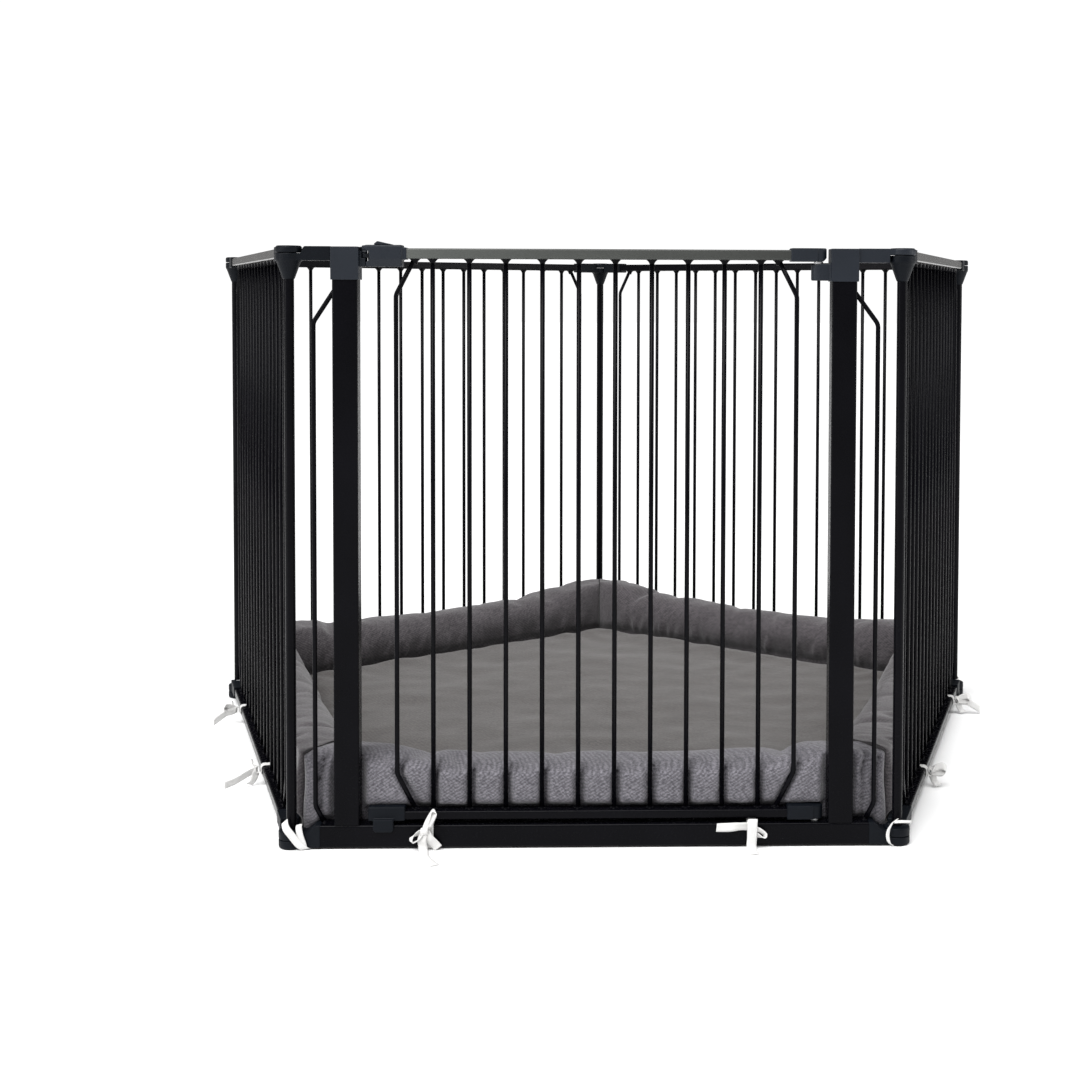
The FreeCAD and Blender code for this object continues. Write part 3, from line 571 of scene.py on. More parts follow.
def filler_rod(sign, post_edge):
    """Bent rod from the threshold up to the side of a post."""
    foot, axis = sign * FILLER_FOOT, sign * FILLER_AXIS
    corners = [(foot, 0, THRESHOLD[1].z - 1), (axis, 0, 48), (axis, 0, 616),
               (post_edge, 0, 652), (post_edge - sign * 2, 0, 653.6)]
    shells = [rod(rounded_path(corners[:4], BEND) + [Vector(corners[4])], BAR)]
    shells.append(flare(foot, THRESHOLD[1].z - 0.5, LOW_WELD, LOW_WELD_WIDE))
    return shells


LATCH_POST, HINGE_POST = local_box("latch_post"), local_box("hinge_post")
shells = filler_rod(-1, LATCH_POST[0].x) + filler_rod(1, HINGE_POST[1].x)
place("filler_bent_rods", mesh_of("filler_bent_rods", shells), "gate_frame", "black_powder_coat", METAL,
      ["filler_rods"])


# ---- corner hardware ----

def top_cone(arm_end):
    """Lower half of a top corner: cone, hub and the arm that holds the rail's start."""
    tip = TUBE + 0.9
    profile = [(tip - 0.7, CONE_LOW), (tip, CONE_LOW + 0.8), (HUB - 1.2, CONE_LOW + 20.5)]
    profile += rounding((HUB - 9, CONE_LOW + 24), 9, -22, 0)
    profile += [(HUB, HUB_SPLIT - 0.5), (HUB - 0.5, HUB_SPLIT)]
    notch = START + HUB + 2.4
    outline = [(START, ARM_LOW), (arm_end, ARM_LOW), (arm_end, ARM_HIGH), (notch + 2.2, ARM_HIGH),
               (notch, ARM_HIGH - 2.2), (notch, ARM_HIGH - 3.4), (START + HUB + 0.5, HUB_SPLIT),
               (START, HUB_SPLIT)]
    return moulded("top_cone", [lathe(profile, START), prism(outline, (-ARM_DEEP, ARM_DEEP))])


def top_cap(arm_end):
    """Upper half of a top corner: the round cap and the arm that holds the rail's end."""
    under = HUB_SPLIT + SEAM
    profile = [(HUB - 0.4, under), (HUB, under + 0.4)] + rounding((HUB - 2.6, CAP_TOP - 2.6), 2.6, 0, 90)
    reach = END - HUB - 1.2
    outline = [(arm_end, ARM_LOW), (reach, ARM_LOW), (reach, under), (END, under), (END, ARM_HIGH),
               (arm_end, ARM_HIGH)]
    beam = prism(outline, (-ARM_DEEP, ARM_DEEP))
    return moulded("top_cap", [lathe(profile, END), beam])


UPPER_HUB = [(HUB - 0.5, 10.8), (HUB, 11.3)] + rounding((HUB - 2, 19), 2, 0, 90)
LOWER_HUB = rounding((HUB - 2.5, 2.5), 2.5, -90, 0) + [(HUB, 9.7), (HUB - 0.5, 10.2)]


def start_foot():
    """Upper half of a foot, round the tube, with the arm that holds the bottom rail's start."""
    arm = box((START, START + ARM_REACH), (-ARM_DEEP, ARM_DEEP), (12, 28))
    return moulded("start_foot", [lathe(UPPER_HUB, START), arm])


def end_foot():
    """Lower half of a foot, on the floor, with the arm that holds the bottom rail's end."""
    reach = END - HUB - 1.2
    outline = [(END, 1), (END - 26, 1), (END - 34, 12), (END - ARM_REACH, 12), (END - ARM_REACH, 28),
               (reach, 28), (reach, 10.2), (END, 10.2)]
    return moulded("end_foot", [lathe(LOWER_HUB, END), prism(outline, (-ARM_DEEP, ARM_DEEP))])


SIDE_CONE, SIDE_CAP = top_cone(START + ARM_REACH), top_cap(END - ARM_REACH)
SIDE_START, SIDE_END = start_foot(), end_foot()
for number, name in SIDES.items():
    for mesh, kind in ((SIDE_CONE, "cone_connector"), (SIDE_CAP, "cap_connector"),
                       (SIDE_START, "start_foot"), (SIDE_END, "end_foot")):
        place(f"{name}_moulded_{kind}", mesh, name, "black_plastic", SHADED_PLASTIC, [f"{name}_{kind}"],
              number)


# ---- the front's plastic pieces ----

POST_CAP = 1.5
# pieces that get the lit plastic; all other front plastic gets the copy with painted shade
LIT_PLASTIC_PIECES = ("latch_post_cap", "hinge_post_cap", "latch_housing", "latch_slider", "upper_hinge_sleeve",
           "front_cap_connector")
CAP = local_box("latch_post_cap")


def cap_block(post):
    return box((post[0].x - POST_CAP, post[1].x + POST_CAP), (-CAP[1].y, CAP[1].y), (CAP[0].z, CAP[1].z))


def front_plastic(name, mesh, node, body="gate_frame"):
    return place(name, mesh, body, "black_plastic", PLASTIC if node in LIT_PLASTIC_PIECES else SHADED_PLASTIC, [node])


CATCH_FACE = -267.9
latch_cap_right = LATCH_POST[1].x + POST_CAP
keeper = prism([(latch_cap_right - 1, 687.3), (-269.2, 687.3), (-267.7, 689), (-267.7, 697), (-269, 698.3),
                (latch_cap_right - 1, 698.3)], (-6.5, 8.5))
seat = box((-272.6, -260), (-9, 3.9), (690.7, 700))
prop = box((latch_cap_right - 1, CATCH_FACE), (-6.5, 8.5), (680.9, 687.8))
backing = box((latch_cap_right - 1, CATCH_FACE), (8.3, 10.8), (680.9, 704.5))
front_plastic("latch_cap", moulded("latch_cap", [cap_block(LATCH_POST), keeper, prop, backing], [seat],
                                  rounds=4),
              "latch_post_cap")

hinge_cap_left = HINGE_POST[0].x - POST_CAP
lug_profile = [(8.0, 666.7), (8.7, 667.4), (8.7, 685.3), (8.0, 686)]
lug = [lathe(lug_profile, HINGE), box((HINGE, hinge_cap_left + 1), (-8.7, 8.7), (666.7, 686))]
front_plastic("hinge_cap", moulded("hinge_cap", [cap_block(HINGE_POST), *lug], rounds=4), "hinge_post_cap")

front_plastic("front_cone", top_cone(LATCH_POST[0].x - POST_CAP), "front_cone_connector")
front_plastic("front_cap", top_cap(HINGE_POST[1].x + POST_CAP), "front_cap_connector")


def wedge(sign, hub_low, hub_high, hub_profile):
    """Sloped end of the threshold and its half of the corner foot."""
    near, far = sign * THRESHOLD[1].x, sign * (HALF - 12)
    outline = [(far, 1.5), (near, 1.5), (near, 28), (near + sign * 6, 28), (near + sign * 17, 18.5),
               (far, 18.5)]
    clear = lathe([(HUB + 0.6, hub_low), (HUB + 0.6, hub_high)], sign * HALF)
    beam = cut_away(mesh_of("beam", [prism(outline, (THRESHOLD[0].y, THRESHOLD[1].y))]), [clear])
    points = [vertex.co / MM for vertex in beam.vertices]
    faces = [tuple(face.vertices) for face in beam.polygons]
    return moulded("wedge", [(points, faces), lathe(hub_profile, sign * HALF)], rounds=4)


front_plastic("front_left_wedge", wedge(-1, -1, 10.8, UPPER_HUB), "front_start_foot")
front_plastic("front_right_wedge", wedge(1, 10.2, 30, LOWER_HUB), "front_end_foot")


# ---- the door's plastic pieces ----

HOUSING = local_box("latch_housing")


def hood():
    """Latch housing: a hood with a facet along its lower half, a C-shaped mouth and a collar."""
    low, high, deep = HOUSING[0].z, HOUSING[1].z, HOUSING[1].y
    ridge = low + 8.7
    section = [(-deep, high - 1.5), (-deep + 1.5, high), (deep - 1.5, high), (deep, high - 1.5),
               (deep, ridge), (deep - 3, low), (3 - deep, low), (-deep, ridge)]
    shells = [prism(section, (-267.3, -225.6), "x"),
              box((-271.6, -266), (2 - deep, 7.6), (700.2, high - 0.6)),
              box((-227, HOUSING[1].x), (-RAIL_END_DEEP, RAIL_END_DEEP), (RAIL_UNDER - 1, RAIL_TOP + 1))]
    mouth = prism([(-275, 686.2), (-265.5, 686.2), (-263, 689), (-263, 697), (-264.5, 699.6), (-275, 699.6)],
                  (-deep - 2, 5))
    keeper_room = box((-275, -267), (4, 11), (680, 708))
    tunnel = box((-264, -236.2), (-4, 4), (690.5, 697))
    slot = box((-258.5, -239), (-3, 3), (696, high + 1))
    return moulded("hood", shells, [mouth, keeper_room, tunnel, slot], rounds=3)


front_plastic("latch_hood", hood(), "latch_housing", "door")


def thumb():
    """Bolt, stem and thumb piece of the latch."""
    bolt = box((-272, -252.3), (-3.5, 3.5), (691, 696.4))
    stem = box((-257.7, -252), (-2.5, 2.5), (695, 707))
    grip = prism([(-257.9, 706.3), (-257.7, 707.4), (-254.2, 710.3), (-252.5, 710.2), (-247, 708.9),
                  (-237.2, 706.8), (-237.2, 706.3)], (-10.5, 10.5))
    return moulded("thumb", [bolt, stem, grip], grain=0.45, rounds=3)


front_plastic("latch_thumb", thumb(), "latch_slider", "latch_slide")


def sleeve(low, high, left, right, corner):
    """A door rail's plastic end on a hinge pin, rounded about the pin, `corner` taken off below."""
    profile = [(9.0, low), (9.4, low + 0.5), (9.4, high - 0.6), (8.9, high)]
    outline = [(left + 0.6, low), (HINGE - 2, low), (HINGE - 2, high), (left + 0.6, high), (left, high - 0.8),
               (left, low + 0.8)]
    shells = [prism(outline, (-RAIL_END_DEEP, RAIL_END_DEEP)), lathe(profile, HINGE),
              box((HINGE - 4, HINGE), (-9.4, 9.4), (low, high))]
    holes = []
    if corner:
        below = [(right - corner, low - 1), (right + 2, low - 1), (right + 2, low + corner)]
        holes = [prism(below, (-20, 20))]
    return shells, holes


SLEEVE, SHOE = local_box("upper_hinge_sleeve"), local_box("lower_hinge_shoe")
shells, holes = sleeve(SLEEVE[0].z, SLEEVE[1].z, SLEEVE[0].x, HINGE + 9.4, 6)
front_plastic("hinge_sleeve", moulded("hinge_sleeve", shells, holes, rounds=4), "upper_hinge_sleeve", "door")
shells, holes = sleeve(SHOE[0].z, SHOE[1].z, SHOE[0].x, HINGE + 9.4, 0)
front_plastic("hinge_shoe", moulded("hinge_shoe", shells, holes, rounds=4), "lower_hinge_shoe", "door")

shoe_body = box((-266.3, -223.6), (-RAIL_END_DEEP, RAIL_END_DEEP), (32.7, 48.8))
shoe_tab = prism([(-260.3, 34), (-260.3, 23.5), (-257.6, 20.8), (-239, 20.8), (-236.3, 23.5), (-236.3, 34)],
                 (-16, -13))
shoe_bridge = box((-260.3, -236.3), (-16, 0), (32.7, 35.4))
front_plastic("latch_side_shoe", moulded("latch_side_shoe", [shoe_body, shoe_tab, shoe_bridge], rounds=4),
              "latch_shoe", "door")


# ---- the mat ----

MITRE = math.tan(HALF_TURN)
BUMPER_IN = 68.0
PAD_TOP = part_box("mat_base")[1].z / MM
FABRIC_VOXEL = 6.0
PINCH, PUFF_EDGE = 12.0, 12.0
POST_FOLD = 312


def bumper_core(stations=40, steps=28):
    """A bumper before it swells: a slim rounded bar with mitred ends."""
    middle, size, power = (42, 50), (23, 45), 0.55
    ring = []
    for step in range(steps):
        angle = 2 * math.pi * step / steps
        cos, sin = math.cos(angle), math.sin(angle)
        ring.append((middle[0] + size[0] * math.copysign(abs(cos) ** power, cos),
                     middle[1] + size[1] * math.copysign(abs(sin) ** power, sin)))
    points = []
    for station in range(stations + 1):
        share = 2 * station / stations - 1
        for inward, up in ring:
            points.append(Vector((share * (HALF - inward * MITRE - 4), inward, up)))
    return points, tube_faces(stations + 1, steps)


def swollen(mesh, voxel, pressure, slack):
    """The mesh remeshed and blown up as a cloth bag; slack is how much too large the cloth is."""
    skin = with_modifiers(mesh, ("REMESH", {"mode": "VOXEL", "voxel_size": voxel * MM}))
    bag = add_object("bag", skin)
    cloth = bag.modifiers.new("Cloth", "CLOTH")
    settings = cloth.settings
    settings.quality = 5
    settings.mass = 0.3
    settings.tension_stiffness = settings.compression_stiffness = 12
    settings.shear_stiffness = 4
    settings.bending_stiffness = 0.3
    settings.shrink_min = -slack
    settings.use_pressure = True
    settings.uniform_pressure_force = pressure
    settings.effector_weights.gravity = 0
    cloth.collision_settings.use_collision = False
    cloth.point_cache.frame_start, cloth.point_cache.frame_end = 1, 20
    for number in range(1, 21):
        bpy.context.scene.frame_set(number)
    ready = bag.evaluated_get(bpy.context.evaluated_depsgraph_get())
    result = bpy.data.meshes.new_from_object(ready)
    bpy.data.objects.remove(bag)
    bpy.context.scene.frame_set(1)
    return result


def held_above(value, limit, soft):
    """The value, kept above a limit with a soft corner instead of a sharp one."""
    gap = (value - limit) / soft
    return limit + soft * (math.log1p(math.exp(gap)) if gap < 20 else gap)


def held_below(value, limit, soft):
    return -held_above(-value, -limit, soft)


def smooth_step(value, low, high):
    share = min(max((value - low) / (high - low), 0.0), 1.0)
    return share * share * (3 - 2 * share)


def outer_wall(x, up, bars, blocks, ledge, puff_out):
    """How far out the cloth may come at x along a side: pinched at the bars, a round puff between
    them, and less low down and at wide posts. ledge is the top of what lies in front low down."""
    puff = fullness(x - pinch_shift(up), bars)
    wall = PINCH - (PINCH + puff_out) * puff + 5 * (1 - puff) * smooth_step(up, 70, 100)
    for left, right, inward in blocks:
        cover = smooth_step(x, left - 9, left) * (1 - smooth_step(x, right, right + 9))
        wall = wall + (inward - wall) * cover
    low = 1 - smooth_step(up, ledge(x), ledge(x) + 6)
    return wall + (BEHIND_RAIL - wall) * low


def pinch_shift(up):
    """The cloth's pinches lie a little to the right of the bars, more so near the top."""
    return 3.5 + 4.5 * smooth_step(up, 80, 104)


def fullness(x, bars):
    """0 where a bar pinches the cloth, 1 between two, with round edges."""
    left = max((place for place in bars if place <= x), default=None)
    right = min((place for place in bars if place > x), default=None)
    if left is None or right is None:
        return 0.6
    share = min(min(x - left, right - x) / PUFF_EDGE, 1.0)
    return math.sqrt(max(1 - (1 - share) ** 2, 0.0)) * min((right - left) / BAR_PITCH, 1.0) ** 0.5


def filled(offset, low, high, new_low, new_high):
    """An offset from the middle, stretched so that the furthest ones reach the new limits."""
    return offset * (new_high / high if offset > 0 else new_low / low)


def bumper(side, bars, blocks, ledge, crest_high, lean, puff_out):
    """One finished bumper, in its side's frame, with a puff in every gap between the bars and painted shade
    in its pinches and creases.
    crest_high is its top, lean how far it rolls inwards over the edge of the base pad."""
    mesh = swollen(mesh_of("bumper", [bumper_core()]), FABRIC_VOXEL, 4.0, 0.05)
    mesh = with_modifiers(mesh, ("SMOOTH", {"factor": 0.5, "iterations": 2}),
                          ("SUBSURF", {"levels": 1, "render_levels": 1}))
    spots = [vertex.co / MM for vertex in mesh.vertices]
    lows = [min(spot[axis] for spot in spots) for axis in range(3)]
    highs = [max(spot[axis] for spot in spots) for axis in range(3)]
    middle = (41, 52)
    painted_shade = mesh.attributes.new("fold", "FLOAT", "POINT")
    for vertex, spot in zip(mesh.vertices, spots):
        x = spot.x
        inward = middle[0] + filled(spot.y - middle[0], lows[1] - middle[0], highs[1] - middle[0],
                                    -66, 34 + lean)
        up = middle[1] + filled(spot.z - middle[1], lows[2] - middle[1], highs[2] - middle[1],
                                -56, crest_high - 28)
        along = x + 1700.0 * side
        slow = noise.noise(Vector((along * 0.011, inward * 0.02, up * 0.02)))
        quick = noise.noise(Vector((along * 0.034, inward * 0.03, up * 0.03 + 9)))
        crinkle = noise.noise(Vector((along * 0.10, inward * 0.05, up * 0.035 + 4)))
        pressed_by = bars(up)
        puff = fullness(x - pinch_shift(up), pressed_by)
        # The outer face, pinched at the bars, with slanting crinkles that run into the pinches.
        slanted = noise.noise(Vector((along * 0.075 + up * 0.05, up * 0.02, 5)))
        wall = outer_wall(x, up, pressed_by, blocks, ledge, puff_out) + (slow * 2.0 + slanted * 2.6) * puff
        touched = min(abs(x - place) for place in pressed_by)
        wall = max(wall, -puff_out, 3.4 if touched < 4.5 else -9)
        inward = held_above(inward, wall, 1.2)
        # The inner face, rolled over the pad's edge and gathered along its seam.
        roll = math.sin(math.pi * min(max((up - 40) / (crest_high - 34), 0.0), 1.0)) ** 0.7
        seam = (1 - smooth_step(up, 46, 88)) * smooth_step(up, 20, 44)
        ridge = 1 - 2 * abs(noise.noise(Vector((along * 0.038 + up * 0.012, up * 0.006, 3))))
        fold = (ridge ** 3) * 6.0 * seam + crinkle * 2.6 * (0.35 + seam)
        inward = held_below(inward, 67.6 + lean * roll + slow * 2.5 * roll + fold * roll ** 0.5, 3.0)
        # The top, wavy, dipping at the bars on its outer half.
        outside = 1 - smooth_step(inward, 6, 34)
        crest = crest_high + slow * 5 + quick * 2.6 + crinkle * 0.9 - 9.5 * (1 - puff) * outside
        up = held_below(up, crest, 6)
        up = held_above(up, 1.2, 1.0)
        reach = HALF - inward * MITRE - 0.7
        x = held_above(held_below(x, reach, 1.5), -reach, 1.5)
        vertex.co = Vector((x, inward, up)) * MM
        # painted shade carried in the fold attribute: dark in the pinches by the bars, along the crease at
        # the pad, in the seam's fold valleys and at the mitred ends
        dark = (1 - puff) * (1 - smooth_step(inward, 14, 30)) * smooth_step(up, 30, 50)
        seam_crease_shade = smooth_step(inward, 56, 64) * (1 - smooth_step(abs(up - 44), 2, 9)) * 0.8
        valley_shade = (1 - smooth_step(ridge, 0.2, 0.75)) * seam * smooth_step(inward, 50, 62) * 0.4
        mitre = (1 - smooth_step(reach - abs(x), 0, 4)) * 0.55
        painted_shade.data[vertex.index].value = min(max(dark ** 1.5, seam_crease_shade, valley_shade, mitre), 1.0)
    return with_modifiers(mesh, ("SMOOTH", {"factor": 0.35, "iterations": 1}))


def pad_core():
    """The base pad before it swells: a low five-sided slab with rounded edges."""
    inner = APOTHEM - BUMPER_IN
    levels = [(inner - 9, 2.5), (inner - 3, 7), (inner - 2, 18), (inner - 3, 28), (inner - 9, 33.5)]
    points = []
    per_side = 24
    for apothem, up in levels:
        for side in range(5):
            for step in range(per_side):
                share = 2 * step / per_side - 1
                spot = Vector((share * apothem * MITRE, -apothem, up))
                points.append(Matrix.Rotation(TURN * side, 3, "Z") @ spot)
    return [point + Vector((0, APOTHEM, 0)) for point in points], tube_faces(len(levels), 5 * per_side)


def base_pad():
    """The base pad: crowned, pulled down along its border seam and creased towards its corners."""
    mesh = swollen(mesh_of("base_pad", [pad_core()]), 9.0, 1.2, 0.02)
    inner = APOTHEM - BUMPER_IN - 0.4
    for vertex in mesh.vertices:
        x, inward, up = vertex.co / MM
        spot = Vector((x, inward - APOTHEM, 0))
        to_edge, along = 1e9, 0.0
        for side in range(5):
            turned = Matrix.Rotation(-TURN * side, 3, "Z") @ spot
            if inner + turned.y < to_edge:
                to_edge, along = inner + turned.y, turned.x
        corner = smooth_step(abs(along), 130, 300) * (1 - smooth_step(to_edge, 30, 190))
        swell = noise.noise(spot * 0.006) * 5.0 + noise.noise(spot * 0.022) * 2.2
        ray = math.atan2(spot.y, spot.x)
        crease = corner * math.sin(ray * 46 + noise.noise(spot * 0.01) * 5) * 2.6
        ridge = 1 - 2 * abs(noise.noise(Vector((along * 0.035, to_edge * 0.008, 8))))
        gather = (1 - smooth_step(to_edge, 12, 70)) * (ridge ** 3) * 3.6
        top = smooth_step(up, 14, 30)
        edge = 1 - smooth_step(to_edge, 0, 40)
        level = PAD_TOP + 2.5 - 13 * edge * edge + swell + crease + gather
        if top > 0:
            up = up * (1 - top) + level * top
        vertex.co = Vector((x, inward, held_above(up, 0.8, 0.8))) * MM
    return with_modifiers(mesh, ("SMOOTH", {"factor": 0.5, "iterations": 3}),
                          ("SUBSURF", {"levels": 1, "render_levels": 1}))


def mat():
    straight = sorted(side_bar_places())

    def side_bars_at(_):
        return straight

    def front_bars_at(up):
        end = END_RUN - ASIDE * min(max(1 - (up - DOOR_RAIL[1].z) / DOOR_RISE, 0.0), 1.0)
        return sorted(door_places + [-end, end, -FILLER_AXIS, FILLER_AXIS, -POST_FOLD, POST_FOLD])

    tubes = [(START - 14, START + 8, BEHIND_RAIL), (END - 8, END + 14, BEHIND_RAIL)]
    posts = [(post[0].x, post[1].x, BEHIND_RAIL) for post in (LATCH_POST, HINGE_POST)]

    def front_ledge(x):
        if abs(x) < HINGE_POST[0].x:
            return DOOR_RAIL[1].z + 0.5
        return THRESHOLD[1].z + 1 - min(max(abs(x) - THRESHOLD[1].x, 0), 22)

    def side_ledge(_):
        return SIDE_RAIL_TOP + 1

    for side in range(5):
        if side == FRONT:
            mesh = bumper(side, front_bars_at, posts + tubes, front_ledge,
                          crest_high=107, lean=4, puff_out=2.0)
        elif side in (RIGHT, LEFT):
            mesh = bumper(side, side_bars_at, tubes, side_ledge,
                          crest_high=109, lean=22, puff_out=-4)
        else:
            mesh = bumper(side, side_bars_at, tubes, side_ledge,
                          crest_high=117, lean=12, puff_out=-4)
        name = SIDES.get(side, "front")
        # the front bumper gets the lit copy, the others the copy with painted shade
        cloth = LIT_FRONT_JERSEY if side == FRONT else SHADED_BACK_JERSEY
        piece = place(f"bumper_{name}", mesh, "gate_frame", "grey_jersey", cloth, (), side)
        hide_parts("mat_bumpers")
    piece = place("base_pad", base_pad(), "gate_frame", "grey_jersey", PAD_CLOTH, ["mat_base"])


mat()


# ---- the cotton ties ----

TAPE_WIDE = 11.0
TAPE_THICK = 0.8


def blend_points(a, b, c, d, share):
    """Catmull-Rom between b and c."""
    return 0.5 * (2 * b + (c - a) * share + (2 * a - 5 * b + 4 * c - d) * share ** 2
                  + (3 * b - a - 3 * c + d) * share ** 3)


def ribbon(route, wide=TAPE_WIDE, closed=False, steps=6):
    """A flat tape. Each stop of the route is (place, direction of the tape's width) and the tape
    curves smoothly from one to the next. Returns a shell with the tape's length and UV."""
    stops = [(Vector(spot), Vector(across).normalized()) for spot, across in route]
    count = len(stops)
    spots, widths = [], []
    for index in range(count if closed else count - 1):
        near = [stops[(index + shift) % count] if closed else stops[min(max(index + shift, 0), count - 1)]
                for shift in (-1, 0, 1, 2)]
        for step in range(steps):
            share = step / steps
            spots.append(blend_points(*[stop[0] for stop in near], share))
            widths.append(blend_points(*[stop[1] for stop in near], share).normalized())
    if closed:
        spots.append(spots[0])
        widths.append(widths[0])
    else:
        spots.append(stops[-1][0])
        widths.append(stops[-1][1])
    lanes = (-1.0, -0.5, 0.0, 0.5, 1.0)
    points, faces, uvs = [], [], []
    run = 0.0
    for index, (spot, across) in enumerate(zip(spots, widths)):
        before, after = spots[max(index - 1, 0)], spots[min(index + 1, len(spots) - 1)]
        if index:
            run += (spot - spots[index - 1]).length
        face_way = (after - before).cross(across).normalized()
        for layer in (0.5, -0.5):
            for lane in lanes:
                cup = 0.25 * TAPE_THICK * (1 - lane * lane)
                points.append(spot + across * (lane * wide / 2) + face_way * (layer * TAPE_THICK + cup))
                uvs.append((run * MM, lane * wide / 2 * MM))
    per = 2 * len(lanes)
    loop = list(range(len(lanes))) + list(range(per - 1, len(lanes) - 1, -1))
    for index in range(len(spots) - 1):
        for here, after in zip(loop, loop[1:] + loop[:1]):
            faces.append((index * per + here, index * per + after, (index + 1) * per + after,
                          (index + 1) * per + here))
    last = (len(spots) - 1) * per
    faces.append(tuple(reversed(loop)))
    faces.append(tuple(last + corner for corner in loop))
    return points, faces, uvs, run


def tie(name, strips, body, node, side):
    """A tie made of strips of tape, joined in one mesh with a UV map along each strip."""
    shells = [(points, faces) for points, faces, _, _ in strips]
    mesh = mesh_of(name, shells)
    uvs = [uv for strip in strips for uv in strip[2]]
    layer = mesh.uv_layers.new(name="tape")
    for loop in mesh.loops:
        layer.data[loop.index].uv = uvs[loop.vertex_index]
    piece = place(name, mesh, body, "white_tape", TAPE, (), side)
    if node:
        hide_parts(node)
    return piece


ALONG, UP = (1, 0, 0), (0, 0, 1)


def band(x, deep, low, high, across=ALONG, wide=TAPE_WIDE):
    """Tape once round a bar that lies along x."""
    near, far = -deep - 0.9, deep + 0.9
    under, over = max(low - 0.7, 0.5), high + 0.9
    middle = (low + high) / 2
    corners = [(near, middle), (near, under + 3), (near + 3, under), (0, under), (far - 3, under),
               (far, under + 3), (far, over - 3), (far - 3, over), (0, over), (near + 3, over),
               (near, over - 3)]
    return ribbon([((x, y, z), across) for y, z in corners], wide, closed=True)


def threshold_band(x):
    return band(x, THRESHOLD[1].y, THRESHOLD[0].z, THRESHOLD[1].z)


def strand(x, y, z, wide, *stops):
    """A strip of tape whose stops are given from a knot: right, in, up, direction of its width."""
    return ribbon([((x + right, y + into, z + up), across) for right, into, up, across in stops], wide)


def knot(x, y, z, wide=9.0, tall=4.6, deep=3.0):
    """A short turn of tape round the gathered strands."""
    spots = []
    for step in range(8):
        angle = 2 * math.pi * step / 8
        spots.append(((x + 0.5 * math.sin(angle), y + deep * math.sin(angle), z + tall * math.cos(angle)),
                      (1, 0, 0.25)))
    return ribbon(spots, wide, closed=True)


def bow_tie():
    """Bow on the threshold, left: a loop up, a loop to the side, one tail down, one on the floor."""
    x, y, z = -199.5, -17.5, 23
    high = strand(x, y, z, 8.5, (0, 0, 0, (1, 0, 0.6)), (5, -3, 9, (1, -0.3, -0.5)),
                  (9.5, -4, 18, (0.8, -0.5, -0.7)), (12.5, -3, 23.5, (0.4, -0.9, -0.3)),
                  (8.5, -1.5, 24, (0.1, -1, 0)), (4, -1.5, 14, (0.7, -0.8, 0.2)), (0, 0, 2, (1, -0.3, 0.3)))
    low = strand(x, y, z, 8.0, (0, 0, 0, (0.5, 0, 1)), (-8, -2, -2, (0.2, -0.5, 1)),
                 (-15, -3, -6.5, (0.5, -0.9, 0.3)), (-15, -3, -12, (0.5, -0.9, 0)),
                 (-7, -3, -9, (0.5, -0.7, 0.5)), (-1, -1, -2, (0.4, -0.2, 1)))
    short = strand(x, y, z, 10.5, (0, 0, 0, (1, 0, 0.5)), (5, -1.5, -8, (1, 0, 0.65)),
                   (11, 0, -15, (1, 0, 0.7)), (15.5, 0.5, -20.5, (1, 0, 0.75)))
    long = strand(x, y, z, 10.5, (0, 0, 0, (1, 0, 0)), (-3, -3.5, -9, (1, 0, -0.1)),
                  (-2, -4, -17, (1, 0.1, -0.1)), (-0.5, -9, -21.5, (1, 0.2, 0)),
                  (4, -26, -22.2, (1, 0.35, 0)), (17, -50, -22.2, (1, 0.6, 0)))
    return [threshold_band(x + 4), high, low, short, long, knot(x, y - 1, z)]


def flat_tie():
    """Knot on the threshold, right: a short tail to the left, one down and a small loop."""
    x, y, z = 183.5, -17, 26
    left = strand(x, y, z, 10.0, (0, 0, 0, (0, 0, 1)), (-13, -1, 0.5, (0.05, -0.3, 1)),
                  (-27, -1.5, -0.4, (0.05, 0.2, 1)), (-42, -2.5, -0.3, (0.1, -0.1, 1)))
    down = strand(x, y, z, 11.5, (1, 4, 7, (1, 0, 0)), (0.5, -1.8, 8, (1, 0, 0)), (0, -3.6, 1, (1, 0, 0)),
                  (-0.4, -3.4, -12, (1, -0.1, 0)), (-1, -4, -21, (1, 0, 0)), (-0.5, -9, -25, (1, 0.1, 0)),
                  (1.5, -22, -25.2, (1, 0.3, 0)))
    small = strand(x, y, z, 7.0, (0, 0, -3, (0.3, 0, 1)), (8, -1.5, -4, (0.4, -0.6, 1)),
                   (15, -2, -9, (0.7, -0.9, 0.5)), (13, -2, -13, (0.4, -1, 0.2)),
                   (4, -1, -9, (0.2, -0.4, 1)))
    return [threshold_band(x), left, small, down, knot(x, y - 0.5, z, 9, 5.5)]


def right_wrap():
    """Tape round the narrow neck between the threshold and the right corner foot."""
    ring = ribbon([((356, -9, 30.5), (1, 0.3, 0.4)), ((349, -15.5, 28), (1, 0.2, 0.5)),
                   ((344.5, -17.2, 21), (1, 0.2, 0.3)), ((343.5, -17.4, 13), (1, 0.2, 0)),
                   ((345.5, -16.8, 5.5), (1, 0.2, -0.4)), ((350, -14.5, 1.9), (0.8, 0.4, -0.5))], 4.2)
    over = ribbon([((352, -15, 29.5), (0.2, 0.2, 1)), ((358, -19.5, 31.5), (0, 0.3, 1)),
                   ((366, -18.5, 31), (0, 0.3, 1)), ((372, -13, 29), (0.2, 0.2, 1))], 3.2)
    return [ring, over]


